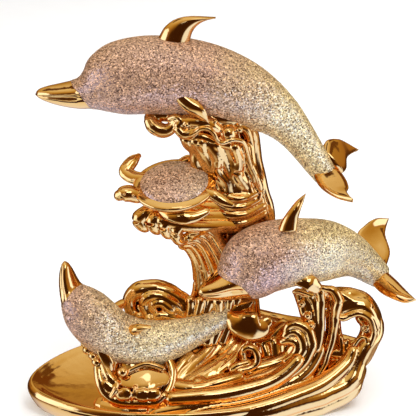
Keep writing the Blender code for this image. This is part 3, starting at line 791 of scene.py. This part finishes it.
def low_waves(bm):
    """The swell and the wall of water at the back, with the saddle that joins it to the right wave."""
    swell(bm)
    low = [(-92, 44, 12, 4), (-76, 54, 16, 8), (-30, 66, 16, 10), (30, 70, 16, 10), (78, 62, 16, 10),
           (108, 40, 16, 8), (120, 26, 12, 4)]
    high = [(-74, 34, 14, 4), (-58, 44, 24, 7), (-24, 52, 34, 8), (30, 56, 32, 8), (76, 50, 32, 8),
            (108, 34, 38, 8), (130, 22, 40, 6)]
    saddle = [(34, 34, 60, 8), (48, 34, 59, 8), (60, 34, 56, 8), (72, 30, 55, 8), (84, 18, 58, 8),
              (96, 6, 60, 7)]
    saddle_low = [(34, 30, 38, 9), (48, 31, 36, 9), (60, 32, 34, 9), (74, 28, 34, 9), (86, 18, 38, 9),
                  (98, 6, 44, 8)]
    add_family(bm, low, high, 6, uneven=0.1, sides=12)
    add_family(bm, saddle, saddle_low, 4)
    add_rope(bm, [(20, 20, 30, 24), (50, 14, 28, 22), (80, 6, 24, 16)], sides=24)


def front_sweep(bm):
    """Long smooth bands that leave the plate at the front left and run round to the right."""
    upper = [(-23, -45, 23, 4), (0, -43, 24, 5), (20, -40, 25, 5.5), (40, -36, 28, 5.5), (57, -32, 32, 5),
             (70, -28, 39, 4.5), (79, -24, 47, 4)]
    channel = [(-36, -46, 10, 5), (-15, -45, 14, 5), (4, -42, 16, 5.5), (27, -37, 18, 6), (47, -32, 21, 6),
               (63, -28, 24, 6), (76, -24, 29, 6), (85, -20, 35, 6), (92, -16, 43, 5.5), (97, -13, 52, 4.5)]
    lower = [(-8, -49, 8, 5), (12, -49, 10, 5.5), (36, -45, 12, 5.5), (57, -41, 16, 5.5), (77, -35, 21, 5.5),
             (96, -28, 26, 5.5), (111, -21, 34, 5), (121, -15, 42, 4.5), (125, -12, 50, 3.5)]
    skirt = [(8, -49, 9, 5), (36, -45, 9, 6), (61, -40, 11, 6.5), (82, -34, 15, 6.5), (97, -29, 17, 6.5),
             (104, -26, 19, 6.5), (117, -21, 23, 6.5), (124, -18, 28, 6.5), (127, -15, 34, 6),
             (130, -12, 41, 5.5), (136, -8, 52, 5.5), (141, -4, 57, 5.5), (144, 0, 62, 5.5),
             (144, 2, 68, 5.5)]
    hem = [(x, y + 3, max(z - 10, 3), r) for x, y, z, r in skirt[:10]]
    add_ropes(bm, upper, channel, lower, skirt, hem, sides=24, sink=2)
    add_rope(bm, [(-10, -30, 16, 9), (30, -26, 20, 12), (66, -16, 24, 14), (96, -2, 26, 14)], sides=24)


def hook(bm):
    """A breaker that curls back over a dark hollow: nested rims over a smooth bowl."""
    outer = [(70, -16, 70, 2.2), (72, -16, 74, 2.6), (77, -16, 76, 3), (83, -16, 74, 3.2),
             (88, -17, 70, 3.2), (90, -18, 64, 3.2), (91, -19, 58, 3.2), (88, -20, 50, 3.2),
             (84, -22, 44, 3.2), (77, -25, 38, 3.2), (67, -29, 33, 3), (53, -33, 28, 3), (37, -37, 26, 2.8),
             (18, -41, 24, 2.6), (-4, -44, 22, 2.4)]
    inner = [(69, -17, 66, 2), (73, -17, 69, 2.2), (78, -17, 69, 2.6), (82, -18, 65, 3), (84, -19, 59, 3),
             (84, -20, 54, 2.8), (80, -21, 48, 2.6), (74, -23, 42, 2.6), (66, -26, 38, 2.4),
             (55, -29, 33, 2.4), (42, -31, 29, 2.2)]
    core = [(67, -16, 60, 2), (72, -17, 62, 2.4), (77, -18, 61, 2.6), (79, -19, 56, 2.4), (76, -20, 50, 2.2),
            (70, -22, 46, 2)]
    add_ropes(bm, outer, inner, core, sink=1.2)
    bowl = [(82, -6, 65, 6), (80, -8, 53, 8), (72, -9, 43, 8), (59, -12, 38, 8), (44, -16, 36, 8)]
    back = [(69, 4, 65, 6), (62, 2, 59, 7), (54, 0, 51, 8)]
    add_ropes(bm, bowl, back, sides=24)


def wave_fan(bm):
    """Ribs that fan from the front left up to a rolled lip, a curl of foam and a deep fold at their right."""
    panel = [(-20, -30, 31, 3), (-13, -24, 35, 5), (-6, -17, 40, 6), (3, -10, 46, 6), (11, -4, 53, 5),
             (18, 2, 59, 3)]
    side = [(-21, -27, 34, 4), (-18, -22, 38, 5), (-13, -18, 43, 5), (-8, -14, 47, 4)]
    first = [(-16, -28, 30, 2.4), (-3, -20, 36, 2.6), (7, -13, 42, 2.6), (16, -6, 51, 2.4), (24, 0, 60, 2.4)]
    second = [(-11, -29, 29, 2.4), (2, -21, 35, 2.8), (12, -14, 42, 2.8), (22, -7, 51, 2.6),
              (29, -1, 61, 2.4)]
    third = [(-7, -30, 29, 2.4), (7, -23, 35, 3), (17, -16, 42, 3.4), (26, -9, 49, 3.2), (33, -3, 57, 2.6)]
    fourth = [(0, -31, 28, 2.4), (14, -24, 36, 2.6), (24, -18, 42, 2.6), (31, -11, 48, 2.6),
              (37, -5, 56, 2.4)]
    add_ropes(bm, panel, side, sides=24)
    add_ropes(bm, first, second, third, fourth, sink=1.5)
    foot = [(-19, -35, 29, 4), (-8, -37, 28, 4.5), (5, -35, 29, 4), (18, -32, 32, 4), (31, -28, 34, 3.5)]
    deep = [(18, -34, 24, 2.5), (29, -30, 26, 3.5), (41, -26, 29, 5), (53, -22, 31, 6), (65, -18, 35, 5.5),
            (75, -14, 39, 4)]
    add_ropes(bm, foot, deep, sides=24, sink=2)
    facets = (
        [(43, -5, 53, 3), (47, -8, 45, 3.5), (54, -11, 38, 3.5)],
        [(51, -5, 53, 4), (54, -8, 45, 4.5), (57, -11, 38, 4)],
        [(61, -5, 54, 5), (62, -8, 46, 5), (62, -11, 38, 4.5)],
        [(71, -7, 52, 4.5), (70, -9, 45, 4.5), (67, -12, 38, 4)],
    )
    add_ropes(bm, *facets, sides=24, sink=2)
    lip = [(26, 2, 66, 1.8), (29, 0, 62, 2), (33, -2, 59, 2.2), (38, -4, 56, 2.2), (45, -5, 54, 2.2),
           (52, -6, 55, 2.2), (58, -7, 58, 1.8)]
    foam = [(36, -18, 47, 1.8), (35, -18, 53, 2.2), (39, -18, 56, 2.4), (44, -18, 54, 2.6),
            (47, -19, 48, 2.8), (46, -20, 42, 2.8), (40, -22, 39, 2.6), (32, -24, 38, 2.6),
            (25, -26, 35, 2.4), (18, -29, 31, 2.2)]
    second_foam = [(39, -19, 43, 2.4), (32, -21, 42, 2.6), (26, -23, 39, 2.4)]
    lumps = (
        [(-6, -33, 30, 2.4), (-2, -33, 32, 3.4), (2, -32, 33, 2.4)],
        [(2, -36, 26, 2), (6, -36, 28, 2.6), (10, -35, 29, 2)],
    )
    add_ropes(bm, lip, foam, second_foam, *lumps, sides=16, sink=0.6)
    add_rope(bm, [(-10, -26, 24, 12), (10, -16, 32, 12), (26, -6, 42, 10), (40, 0, 46, 9)], sides=24)


def right_wave(bm):
    """The tall wave at the right: a streaked shell over a thick rolled rim, folds, a ring and one opening."""
    front = [(115, -2, 96, 4), (122, -3, 92, 4), (129, -3, 89, 4), (135, -3, 86, 4), (140, -3, 80, 4.5),
             (144, -3, 71, 4.5), (144, -3, 62, 4.5), (142, -5, 54, 4.5), (137, -8, 46, 4.5),
             (130, -12, 39, 4.5), (123, -16, 32, 4.5), (113, -20, 26, 4.5)]
    rear = [(104, 4, 93, 6), (114, 12, 91, 6), (124, 16, 88, 6.5), (132, 18, 84, 7), (137, 20, 78, 7),
            (141, 20, 70, 7.5), (143, 20, 60, 8), (142, 20, 50, 8), (139, 19, 40, 8), (134, 17, 30, 8),
            (124, 16, 24, 8), (112, 16, 20, 8)]
    shell = [(115, -5, 84, 4.5), (121, -4, 86, 4.8), (127, -4, 87, 4.8), (134, -4, 86, 4.8),
             (139, -4, 80, 4.8), (142, -4, 73, 4.4), (143, -4, 64, 4), (141, -6, 56, 4), (136, -9, 48, 4)]
    crown = [(114, 1, 95, 4.5), (121, 1, 95, 5), (128, 2, 92, 5), (135, 2, 88, 5), (140, 3, 80, 5),
             (143, 3, 72, 4.6), (143, 3, 64, 4.4), (141, 2, 56, 4.4), (136, 0, 48, 4.4)]
    add_family(bm, front, rear, 5, (1.5, 0, 1), uneven=0.18, seed=4)
    add_family(bm, shell, crown, 4, uneven=0.15, seed=8, sink=0.8)
    rim = [(111, -9, 79, 2.8), (117, -9, 78, 3), (122, -8, 80, 3), (128, -8, 82, 3), (133, -8, 81, 3),
           (138, -8, 77, 3), (141, -8, 70, 3), (142, -8, 64, 3), (140, -9, 57, 2.8), (136, -11, 50, 2.6),
           (129, -13, 43, 2.4)]
    ring = [(136, -9, 60, 1.8), (132, -9, 61, 1.9), (129, -9, 58, 2), (126, -10, 53, 2), (125, -10, 46, 2),
            (126, -10, 42, 2), (130, -10, 43, 2), (133, -10, 48, 2), (136, -10, 55, 1.9), (136, -9, 60, 1.8)]
    eye = curl((134, -8, 68.5), 0.4, 2.6, 1.0, 1.3, tight=0.1, taper=1.0)
    add_ropes(bm, rim, ring, eye)
    folds = (
        [(115, -6, 59, 2.4), (116, -7, 52, 2.6), (116, -8, 45, 2.8), (117, -9, 38, 2.6)],
        [(121, -6, 56, 2.4), (121, -7, 49, 2.8), (122, -8, 43, 2.8), (121, -9, 37, 2.4)],
        [(107, -13, 35, 4.2), (111, -13, 36, 5.2), (116, -13, 37, 4.2)],
    )
    fills = (
        [(107, 2, 87, 4.5), (107, 2, 76, 4.5), (107, 1, 65, 4), (105, 0, 54, 3.6), (102, -3, 44, 5)],
        [(132, 1, 74, 5), (136, 1, 68, 5), (136, 0, 61, 5), (132, -1, 53, 5), (125, -3, 48, 5.5)],
        [(112, 1, 75, 3.5), (113, 1, 66, 3), (114, 0, 58, 3.5), (115, -2, 51, 5)],
        [(109, -4, 45, 6), (117, -4, 44, 7), (123, -5, 41, 7), (128, -7, 38, 5)],
        [(102, -8, 34, 7), (110, -9, 33, 7), (118, -10, 31, 6)],
        [(103, 2, 97, 4), (109, 2, 95, 4.5), (114, 1, 90, 4.5), (116, 1, 82, 4)],
        [(132, -4, 50, 5), (126, -8, 36, 6), (118, -10, 28, 7)],
    )
    add_ropes(bm, *folds, *fills)


def belly_crest(bm):
    """Narrow ribs up to the right dolphin's belly, beside a thick smooth band that rolls over at the top."""
    band = [(93, -9, 101, 2), (95, -9, 103, 2.2), (98, -10, 105, 2.5), (103, -10, 104, 3),
            (107, -10, 103, 3.6), (110, -10, 99, 4), (112, -10, 93, 4.2), (111, -10, 87, 4.2),
            (110, -10, 80, 3.8), (110, -11, 74, 3.4), (109, -11, 66, 3.2), (108, -12, 60, 3),
            (106, -14, 53, 2.8), (104, -15, 46, 2.6), (102, -17, 40, 2.4), (97, -20, 32, 2.2),
            (91, -23, 27, 2.2), (81, -27, 23, 2), (68, -32, 21, 1.8)]
    strip = [(97, -10, 101, 3), (98, -10, 94, 3.2), (98, -11, 88, 3), (98, -12, 79, 2.6), (98, -13, 71, 2.6),
             (97, -14, 62, 2.8), (95, -16, 54, 3)]
    coil = [(101, -9, 92, 1.5), (101, -9, 97, 1.7), (103, -9, 101, 1.7), (106, -9, 99, 1.5),
            (106, -9, 95, 1.3)]
    edge = [(76, -9, 101, 1.8), (80, -10, 102, 2), (86, -10, 100, 2), (91, -10, 98, 1.8)]
    ribs = (
        [(79, -8, 100, 2.8), (81, -8, 94, 2.8), (83, -9, 88, 2.8), (85, -10, 81, 2.8), (88, -12, 75, 2.6),
         (90, -14, 69, 2.4)],
        [(83, -8, 100, 2.8), (86, -8, 94, 2.8), (88, -9, 88, 2.6), (90, -10, 80, 2.6), (91, -12, 72, 2.6),
         (92, -14, 63, 2.4)],
        [(89, -9, 97, 2.8), (92, -9, 92, 2.8), (94, -10, 85, 2.6), (95, -11, 77, 2.6), (95, -13, 69, 2.6),
         (94, -15, 60, 2.6)],
    )
    add_ropes(bm, band, coil, edge)
    add_ropes(bm, strip, *ribs, sink=1.0)
    add_rope(bm, [(92, 2, 34, 9), (92, 4, 56, 7), (93, 4, 76, 6), (93, 0, 94, 6)], sides=24)
    backs = (
        [(100, -4, 98, 5), (106, -2, 96, 5), (112, 2, 92, 5)],
        [(84, -2, 96, 4), (88, -2, 86, 4), (91, -4, 72, 5)],
    )
    add_ropes(bm, *backs, sides=16)
    add_balls(bm, (82, -13, 92, 2.6), (87, -14, 82, 3), (90, -15, 74, 2.8))


def column(bm):
    """The fluted column: wandering folds below the crest, wraps at the waist and upright ribs at the foot."""
    core = [(20, 34, 0, 32), (21, 32, 30, 27), (22, 28, 60, 23), (23, 23, 90, 20), (24, 20, 118, 20),
            (26, 20, 150, 20), (26, 20, 180, 18), (23, 18, 208, 18), (18, 13, 230, 16), (14, 10, 246, 12)]
    add_rope(bm, core, sides=40)
    draw = random.Random(7)
    for turn in around(FLUTES):
        points = []
        thick = draw.uniform(0.22, 0.32)
        for k, (x, y, z, r) in enumerate(core):
            angle = turn + 0.14 * k + draw.uniform(-0.08, 0.08)
            points.append((x + r * 1.05 * cos(angle), y + r * 0.95 * sin(angle), z, thick * r))
        add_rope(bm, points, sides=12)
    left = [(-11, -8, 230, 3.4), (-5, -5, 220, 3.6), (-1, -3, 207, 3.4), (3, -2, 196, 3.4), (7, -2, 184, 3)]
    right = [(37, -5, 222, 3), (40, -3, 210, 3), (42, -2, 198, 3), (45, -1, 187, 3), (47, 0, 177, 3)]
    add_family(bm, left, right, 9, (0, -2, 0), uneven=0.35, sway=2.2, seed=3, sides=16, sink=1.5)
    flap = [(-13, 4, 228, 3), (-11, 4, 222, 3), (-6, 4, 217, 3), (-2, 4, 213, 3), (-1, 4, 200, 3)]
    shell = [(28, 4, 241, 7), (36, 7, 237, 7), (41, 8, 229, 6), (43, 9, 219, 5.5), (45, 9, 207, 5),
             (48, 9, 194, 5), (51, 9, 180, 5), (55, 9, 167, 5), (56, 10, 150, 5), (52, 12, 120, 6)]
    stripe = [(31, -2, 239, 3.6), (37, -1, 235, 3.4), (40, 0, 225, 3), (42, 0, 210, 2.8), (45, 1, 193, 2.8),
              (49, 2, 176, 2.8), (53, 4, 160, 2.8)]
    add_ropes(bm, flap, shell, stripe, sides=16)
    high = [(10, -1, 186, 3.6), (21, -5, 181, 4), (34, -5, 180, 4), (47, 2, 184, 3.6)]
    low = [(8, -2, 164, 3.6), (21, -7, 160, 4), (36, -6, 160, 4), (51, 2, 165, 3.6)]
    add_family(bm, high, low, 4, uneven=0.1, sides=14)
    first = [(-8, -8, 93, 2.6), (-9, -8, 83, 2.6), (-11, -8, 70, 2.6), (-12, -9, 58, 2.6)]
    last = [(31, -6, 93, 3), (29, -6, 80, 3), (23, -7, 67, 3), (18, -8, 56, 3)]
    add_family(bm, first, last, 6, (0, -2, 0), uneven=0.35, sway=1.2, seed=5, sides=16, sink=1.5)
    edge = [(-8, 2, 140, 3.4), (-5, 2, 127, 3.4), (-3, 2, 114, 3.4), (-3, 2, 100, 3.4), (-6, 2, 85, 3.4),
            (-8, 2, 62, 3.4)]
    edge_back = [(x + 6, y + 8, z, r) for x, y, z, r in edge]
    add_ropes(bm, edge, edge_back, sides=14)


def top_crest(bm):
    """The crest under the top dolphin: folds at the left, a scalloped lip in front and a smooth ball."""
    bulb = [(-39, -2, 243, 5), (-36, -3, 239, 6), (-29, -4, 236, 6), (-23, -5, 238, 5), (-18, -6, 244, 4)]
    roof = [(-38, 3, 244, 6), (-30, 4, 247, 6), (-19, 4, 246, 7), (-4, 6, 244, 9)]
    fold = [(-23, -5, 246, 3), (-18, -7, 248, 3), (-15, -8, 245, 3.5), (-17, -9, 240, 4),
            (-12, -10, 235, 4.5), (-5, -10, 238, 4), (-1, -9, 243, 3)]
    lip = [(-19, -8, 241, 1.6), (-12, -11, 235, 1.8), (-8, -13, 235, 1.9), (-3, -14, 238, 2),
           (1, -15, 241, 2), (7, -16, 241, 2), (11, -16, 237, 2), (14, -15, 231, 2), (18, -14, 229, 2),
           (22, -13, 230, 2), (27, -12, 231, 2), (33, -10, 229, 2), (36, -8, 224, 2), (38, -6, 216, 2),
           (41, -4, 204, 1.8), (43, -3, 193, 1.5)]
    brow = [(-12, -6, 244, 6), (-2, -9, 245, 6), (7, -10, 243, 5.5), (13, -9, 239, 4.5)]
    top = [(0, 0, 246, 9), (14, 0, 246, 9), (28, 3, 243, 9), (36, 6, 238, 8)]
    under = [(-12, -5, 230, 4), (0, -6, 232, 5), (12, -6, 228, 5), (26, -5, 224, 5), (34, -3, 220, 5)]
    add_ropes(bm, bulb, roof, fold, lip, brow, top, under)
    add_balls(bm, (22, -7, 235, 7), (5, -13, 247, 2.6), (12, -12, 246, 2))
    add_balls(bm, (-10, -12, 243, 2.4), (31, -8, 238, 3))


def turtle_shelf(bm):
    """The middle crest that carries the turtle, its edge rolled into folds, and the ribbed arch under it."""
    far = [(24, 8, 176, 9), (6, 4, 176, 9), (-12, 0, 178, 9), (-28, -2, 178, 8), (-38, -6, 172, 6)]
    near = [(28, -4, 156, 7), (12, -11, 159, 7), (-4, -17, 161, 6), (-18, -20, 164, 5.5), (-30, -20, 167, 5)]
    add_family(bm, far, near, 4)
    rolls = (
        [(-38, -12, 174, 5), (-43, -14, 171, 6), (-48, -14, 166, 6.5), (-44, -13, 160, 6),
         (-40, -11, 160, 4)],
        [(-32, -14, 172, 4.5), (-35, -17, 169, 5.5), (-37, -18, 164, 6), (-34, -16, 158, 5),
         (-30, -14, 159, 4)],
        [(-24, -16, 169, 4), (-26, -20, 166, 5), (-28, -21, 161, 5), (-25, -19, 155, 4.5),
         (-21, -17, 156, 3.5)],
        [(-13, -16, 165, 4), (-16, -20, 162, 5), (-19, -21, 157, 5.5), (-16, -19, 150, 5),
         (-11, -17, 151, 4)],
    )
    add_ropes(bm, *rolls)
    arch_front = [(-6, -17, 155, 3.6), (3, -16, 158, 3.6), (10, -14, 154, 3.6), (16, -12, 144, 3.6),
                  (22, -10, 132, 3.6), (27, -8, 116, 3.6)]
    arch_back = [(-14, -13, 143, 3), (-10, -12, 141, 3), (-6, -10, 134, 3), (-3, -8, 126, 3),
                 (-1, -7, 116, 3), (0, -6, 104, 3)]
    add_family(bm, arch_front, arch_back, 5, (0, -2, 0), uneven=0.2, seed=2, sides=16, sink=0.8)
    add_rope(bm, [(0, 4, 166, 10), (8, 4, 150, 11), (12, 6, 130, 12), (12, 8, 108, 12)], sides=24)
    for x, y, z, size in ((3, -11, 124, 6), (10, -10, 118, 4)):
        add_rope(bm, curl((x, y, z), 2.0, size, 1.2, 2.0, 0.3), sides=12)


def left_curl(bm):
    """The small wave rolled up behind the left dolphin: a spiral of ropes and lobes."""
    for i in range(1, 4):
        depth = 4 + 8 * i
        size = 20 - 1.2 * i
        rope = [(10, depth + 4, 30, 8), (0, depth + 2, 54, 7), (-12, depth, 72, 6)]
        rope += curl((-41, depth, 76), radians(35), size, -1.15, 6)
        add_rope(bm, rope, sides=12)
    add_ropes(bm, [(-46, 8, 78, 12), (-37, 18, 74, 16), (-41, 27, 76, 11)],
              [(-34, 15, 70, 15), (-32, 14, 44, 18), (-26, 12, 14, 22)], sides=24)
    crown = [(2, 4, 50, 6), (-4, 2, 70, 5), (-12, 0, 88, 5), (-19, 0, 93, 5.5), (-25, 0, 97, 6),
             (-34, 0, 100, 6.5), (-42, 0, 100, 6.5), (-50, 0, 99, 6), (-56, 0, 94, 5), (-58, -1, 88, 4.5),
             (-56, -2, 81, 4), (-50, -3, 76, 4)]
    second = [(-4, 0, 66, 4), (-16, -3, 83, 4), (-23, -4, 90, 4.5), (-30, -5, 95, 4), (-37, -6, 97, 3.6),
              (-43, -7, 95, 3.2), (-46, -7, 90, 3), (-44, -7, 83, 2.8), (-40, -7, 81, 2.4)]
    third = [(-10, -2, 64, 3.5), (-21, -5, 78, 3.5), (-25, -6, 85, 4), (-30, -7, 90, 3.4),
             (-35, -8, 91, 2.8), (-39, -8, 88, 2.4), (-38, -8, 85, 2)]
    fourth = [(-8, -4, 60, 3.4), (-15, -6, 73, 3.5), (-21, -7, 77, 3.4), (-29, -8, 80, 3),
              (-34, -9, 80, 2.8), (-38, -9, 76, 2.4)]
    flow = [(-12, -3, 86, 3), (-8, -4, 78, 3), (-6, -5, 66, 3)]
    add_ropes(bm, crown, second, third, fourth, flow, sink=1.2)
    add_balls(bm, (-42, -8, 77, 4.5), (-33, -8, 72, 5), (-50, -6, 79, 3.6))
    add_balls(bm, (-23, -8, 70, 5), (-16, -7, 64, 5))


def splash(bm):
    """The cup of foam under the left dolphin: a smooth face in a thick outline, dark lobes and drops."""
    cup = [(-55, -20, 0, 17), (-55, -20, 10, 20), (-56, -19, 24, 23), (-57, -18, 36, 21), (-58, -18, 48, 14)]
    add_rope(bm, cup, sides=40)
    rim = [(-82, -32, 50, 3.4), (-82, -36, 43, 4), (-80, -40, 35, 4.4), (-77, -42, 28, 4.6),
           (-71, -44, 23, 4.6), (-62, -45, 20, 4.4), (-48, -46, 20, 4.4), (-36, -45, 20, 4.4),
           (-29, -43, 25, 3.6)]
    face = [(-65, -39, 36, 4), (-59, -40, 37, 6.5), (-50, -40.5, 38, 8.5), (-40, -40, 38.5, 9),
            (-31, -38, 38, 7)]
    struts = ([(-66, -44, 36, 1.6), (-68, -47, 31, 1.8), (-71, -47, 26, 1.6)],
              [(-52, -46, 34, 1.4), (-53, -48, 29, 2), (-55, -48, 24, 1.6)])
    lip = [(-64, -40, 41, 1.8), (-58, -38, 44, 2), (-51, -36, 47, 2.2), (-44, -35, 49, 2.2),
           (-37, -35, 48, 2.2), (-30, -35, 45, 2)]
    stripe = [(-75, -44, 26, 1.4), (-71, -45, 31, 1.6), (-67, -44, 36, 1.4)]
    strand = [(-27, -24, 50, 4), (-24, -27, 43, 4.6), (-23, -30, 37, 5), (-25, -35, 29, 5),
              (-29, -40, 23, 4.6), (-34, -44, 17, 4), (-40, -47, 12, 3)]
    knee = [(-82, -30, 55, 3), (-77, -35, 47, 4), (-73, -39, 40, 4.5), (-68, -41, 35, 4)]
    foot = [(-78, -30, 8, 10), (-64, -36, 8, 10), (-50, -37, 8, 10), (-36, -34, 8, 10)]
    wall = [(-76, -31, 28, 8), (-64, -33, 28, 8), (-50, -33, 28, 8), (-36, -31, 28, 8)]
    inner = [(-26, -18, 50, 5), (-27, -24, 40, 6), (-29, -30, 30, 6), (-34, -35, 20, 5)]
    chain = [(-94, -24, 62, 3), (-91, -27, 58, 4), (-86, -30, 54, 4.4), (-83, -33, 50, 4.4),
             (-81, -35, 45, 3.6)]
    side = [(-86, -16, 52, 5), (-80, -18, 42, 6), (-76, -22, 30, 7), (-74, -26, 18, 7)]
    add_ropes(bm, rim, lip, stripe, strand, knee, foot, wall, inner, side)
    add_rope(bm, face, steps=10, sides=40, flat=0.16, over=Vector((0.15, -0.72, 0.68)))
    add_ropes(bm, *struts, sides=16)
    add_foam(bm, chain, 5, 3)
    lumps = ([(-76, -44, 35, 3.6), (-73, -45, 32, 4)], [(-63, -48, 28, 5), (-60, -48.5, 29, 5.6)],
             [(-48, -48.5, 28, 5), (-45, -48.5, 28, 5.4)], [(-39, -48, 28, 5), (-36, -47.5, 28, 5)])
    add_ropes(bm, *lumps, sides=28, flat=0.4, over=Vector((0, -0.97, 0.23)))
    add_balls(bm, (-62, -41, 45, 4.6))


# Stage

def surround(tree):
    """What the gold mirrors: dark around eye level, brighter overhead and underfoot, with soft panels."""
    place = feed(tree, "TexCoord", "Generated")
    look = jitter(tree, place, noise(tree, place, 2.2, 2.0, "Color"), SWIRL)
    height = feed(tree, "SeparateXYZ", "Z", {"Vector": look})
    level = feed(tree, "MapRange", "Result", {"Value": height, "From Min": -1.0})
    light = ramp(tree, level, [((up + 1) / 2, colour) for up, colour in SKY])
    for toward, near, far, colour in PANELS:
        middle = Vector(toward).normalized()
        facing = feed(tree, "VectorMath", "Value", {0: look, 1: middle}, operation="DOT_PRODUCT")
        core, rim = cos(radians(near)), cos(radians(far))
        fade = {"Value": facing, "From Min": rim, "From Max": core}
        edge = feed(tree, "MapRange", "Result", fade, interpolation_type="SMOOTHSTEP")
        light = mix(tree, edge, light, (*colour, 1))
    seen = mix(tree, feed(tree, "LightPath", "Is Glossy Ray"), PALE_ROOM, light)
    fill(tree, tree.nodes["Background"], {"Color": seen})


def studio():
    """A pale floor, the surround and soft lamps, of which the gold mirrors only the surround."""
    scene = bpy.context.scene
    scene.view_settings.view_transform = "Standard"
    bm = bmesh.new()
    bmesh.ops.create_grid(bm, x_segments=1, y_segments=1, size=FLOOR_REACH)
    mesh = bpy.data.meshes.new("floor")
    bm.to_mesh(mesh)
    bm.free()
    mesh.materials.append(paper_material())
    floor = add_object("floor", mesh)
    floor.visible_glossy = False
    scene.world = bpy.data.worlds.new("studio")
    scene.world.use_nodes = True
    surround(scene.world.node_tree)
    for name, place, size, power in LAMPS:
        light = bpy.data.lights.new(name, "AREA")
        light.energy = power
        light.size = size
        lamp = add_object(name, light)
        lamp.location = place
        lamp.rotation_euler = (LAMP_AIM - Vector(place)).to_track_quat("-Z", "Y").to_euler()
        lamp.visible_glossy = False


def camera():
    """The photograph's view."""
    view = bpy.data.cameras.new("photo_view")
    view.sensor_width = SENSOR
    view.lens = SENSOR / 2 * DISTANCE / FIELD
    eye = add_object("photo_view", view)
    away = Vector((0, -cos(ELEVATION), sin(ELEVATION)))
    eye.location = (TARGET - BASE_PLACE + away * DISTANCE) * UNIT
    eye.rotation_euler = (-away).to_track_quat("-Z", "Y").to_euler()
    bpy.context.scene.camera = eye


camera()
gold = gold_material()
top_coat = glitter_material("glitter_coat", MAUVE, CHAMPAGNE, 0.5, 0.95)
right_coat = glitter_material("glitter_right", MAUVE, CHAMPAGNE, 0.3, 0.62)
left_coat = glitter_material("glitter_left", MAUVE, LEFT_CHAMPAGNE, 0.05, 0.5)
shell_coat = glitter_material("glitter_shell", MAUVE, SHELL_TAN, 0.4, 1.2)
sea_plate(gold)
waves = cast(low_waves, gold, 1.1, 4, 0.5)
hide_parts(NODE)
cast(front_sweep, gold, 0.8)
cast(hook, gold, 0.65)
cast(wave_fan, gold, 0.65)
cast(right_wave, gold, 0.7)
cast(belly_crest, gold, 0.65)
cast(column, gold, 0.8, keep=0.55)
cast(top_crest, gold, 0.6)
cast(turtle_shelf, gold, 0.65)
cast(left_curl, gold, 0.7)
cast(splash, gold, 0.55)
top_dolphin(gold, top_coat)
right_dolphin(gold, right_coat)
left_dolphin(gold, left_coat)
turtle(gold, shell_coat)
studio()
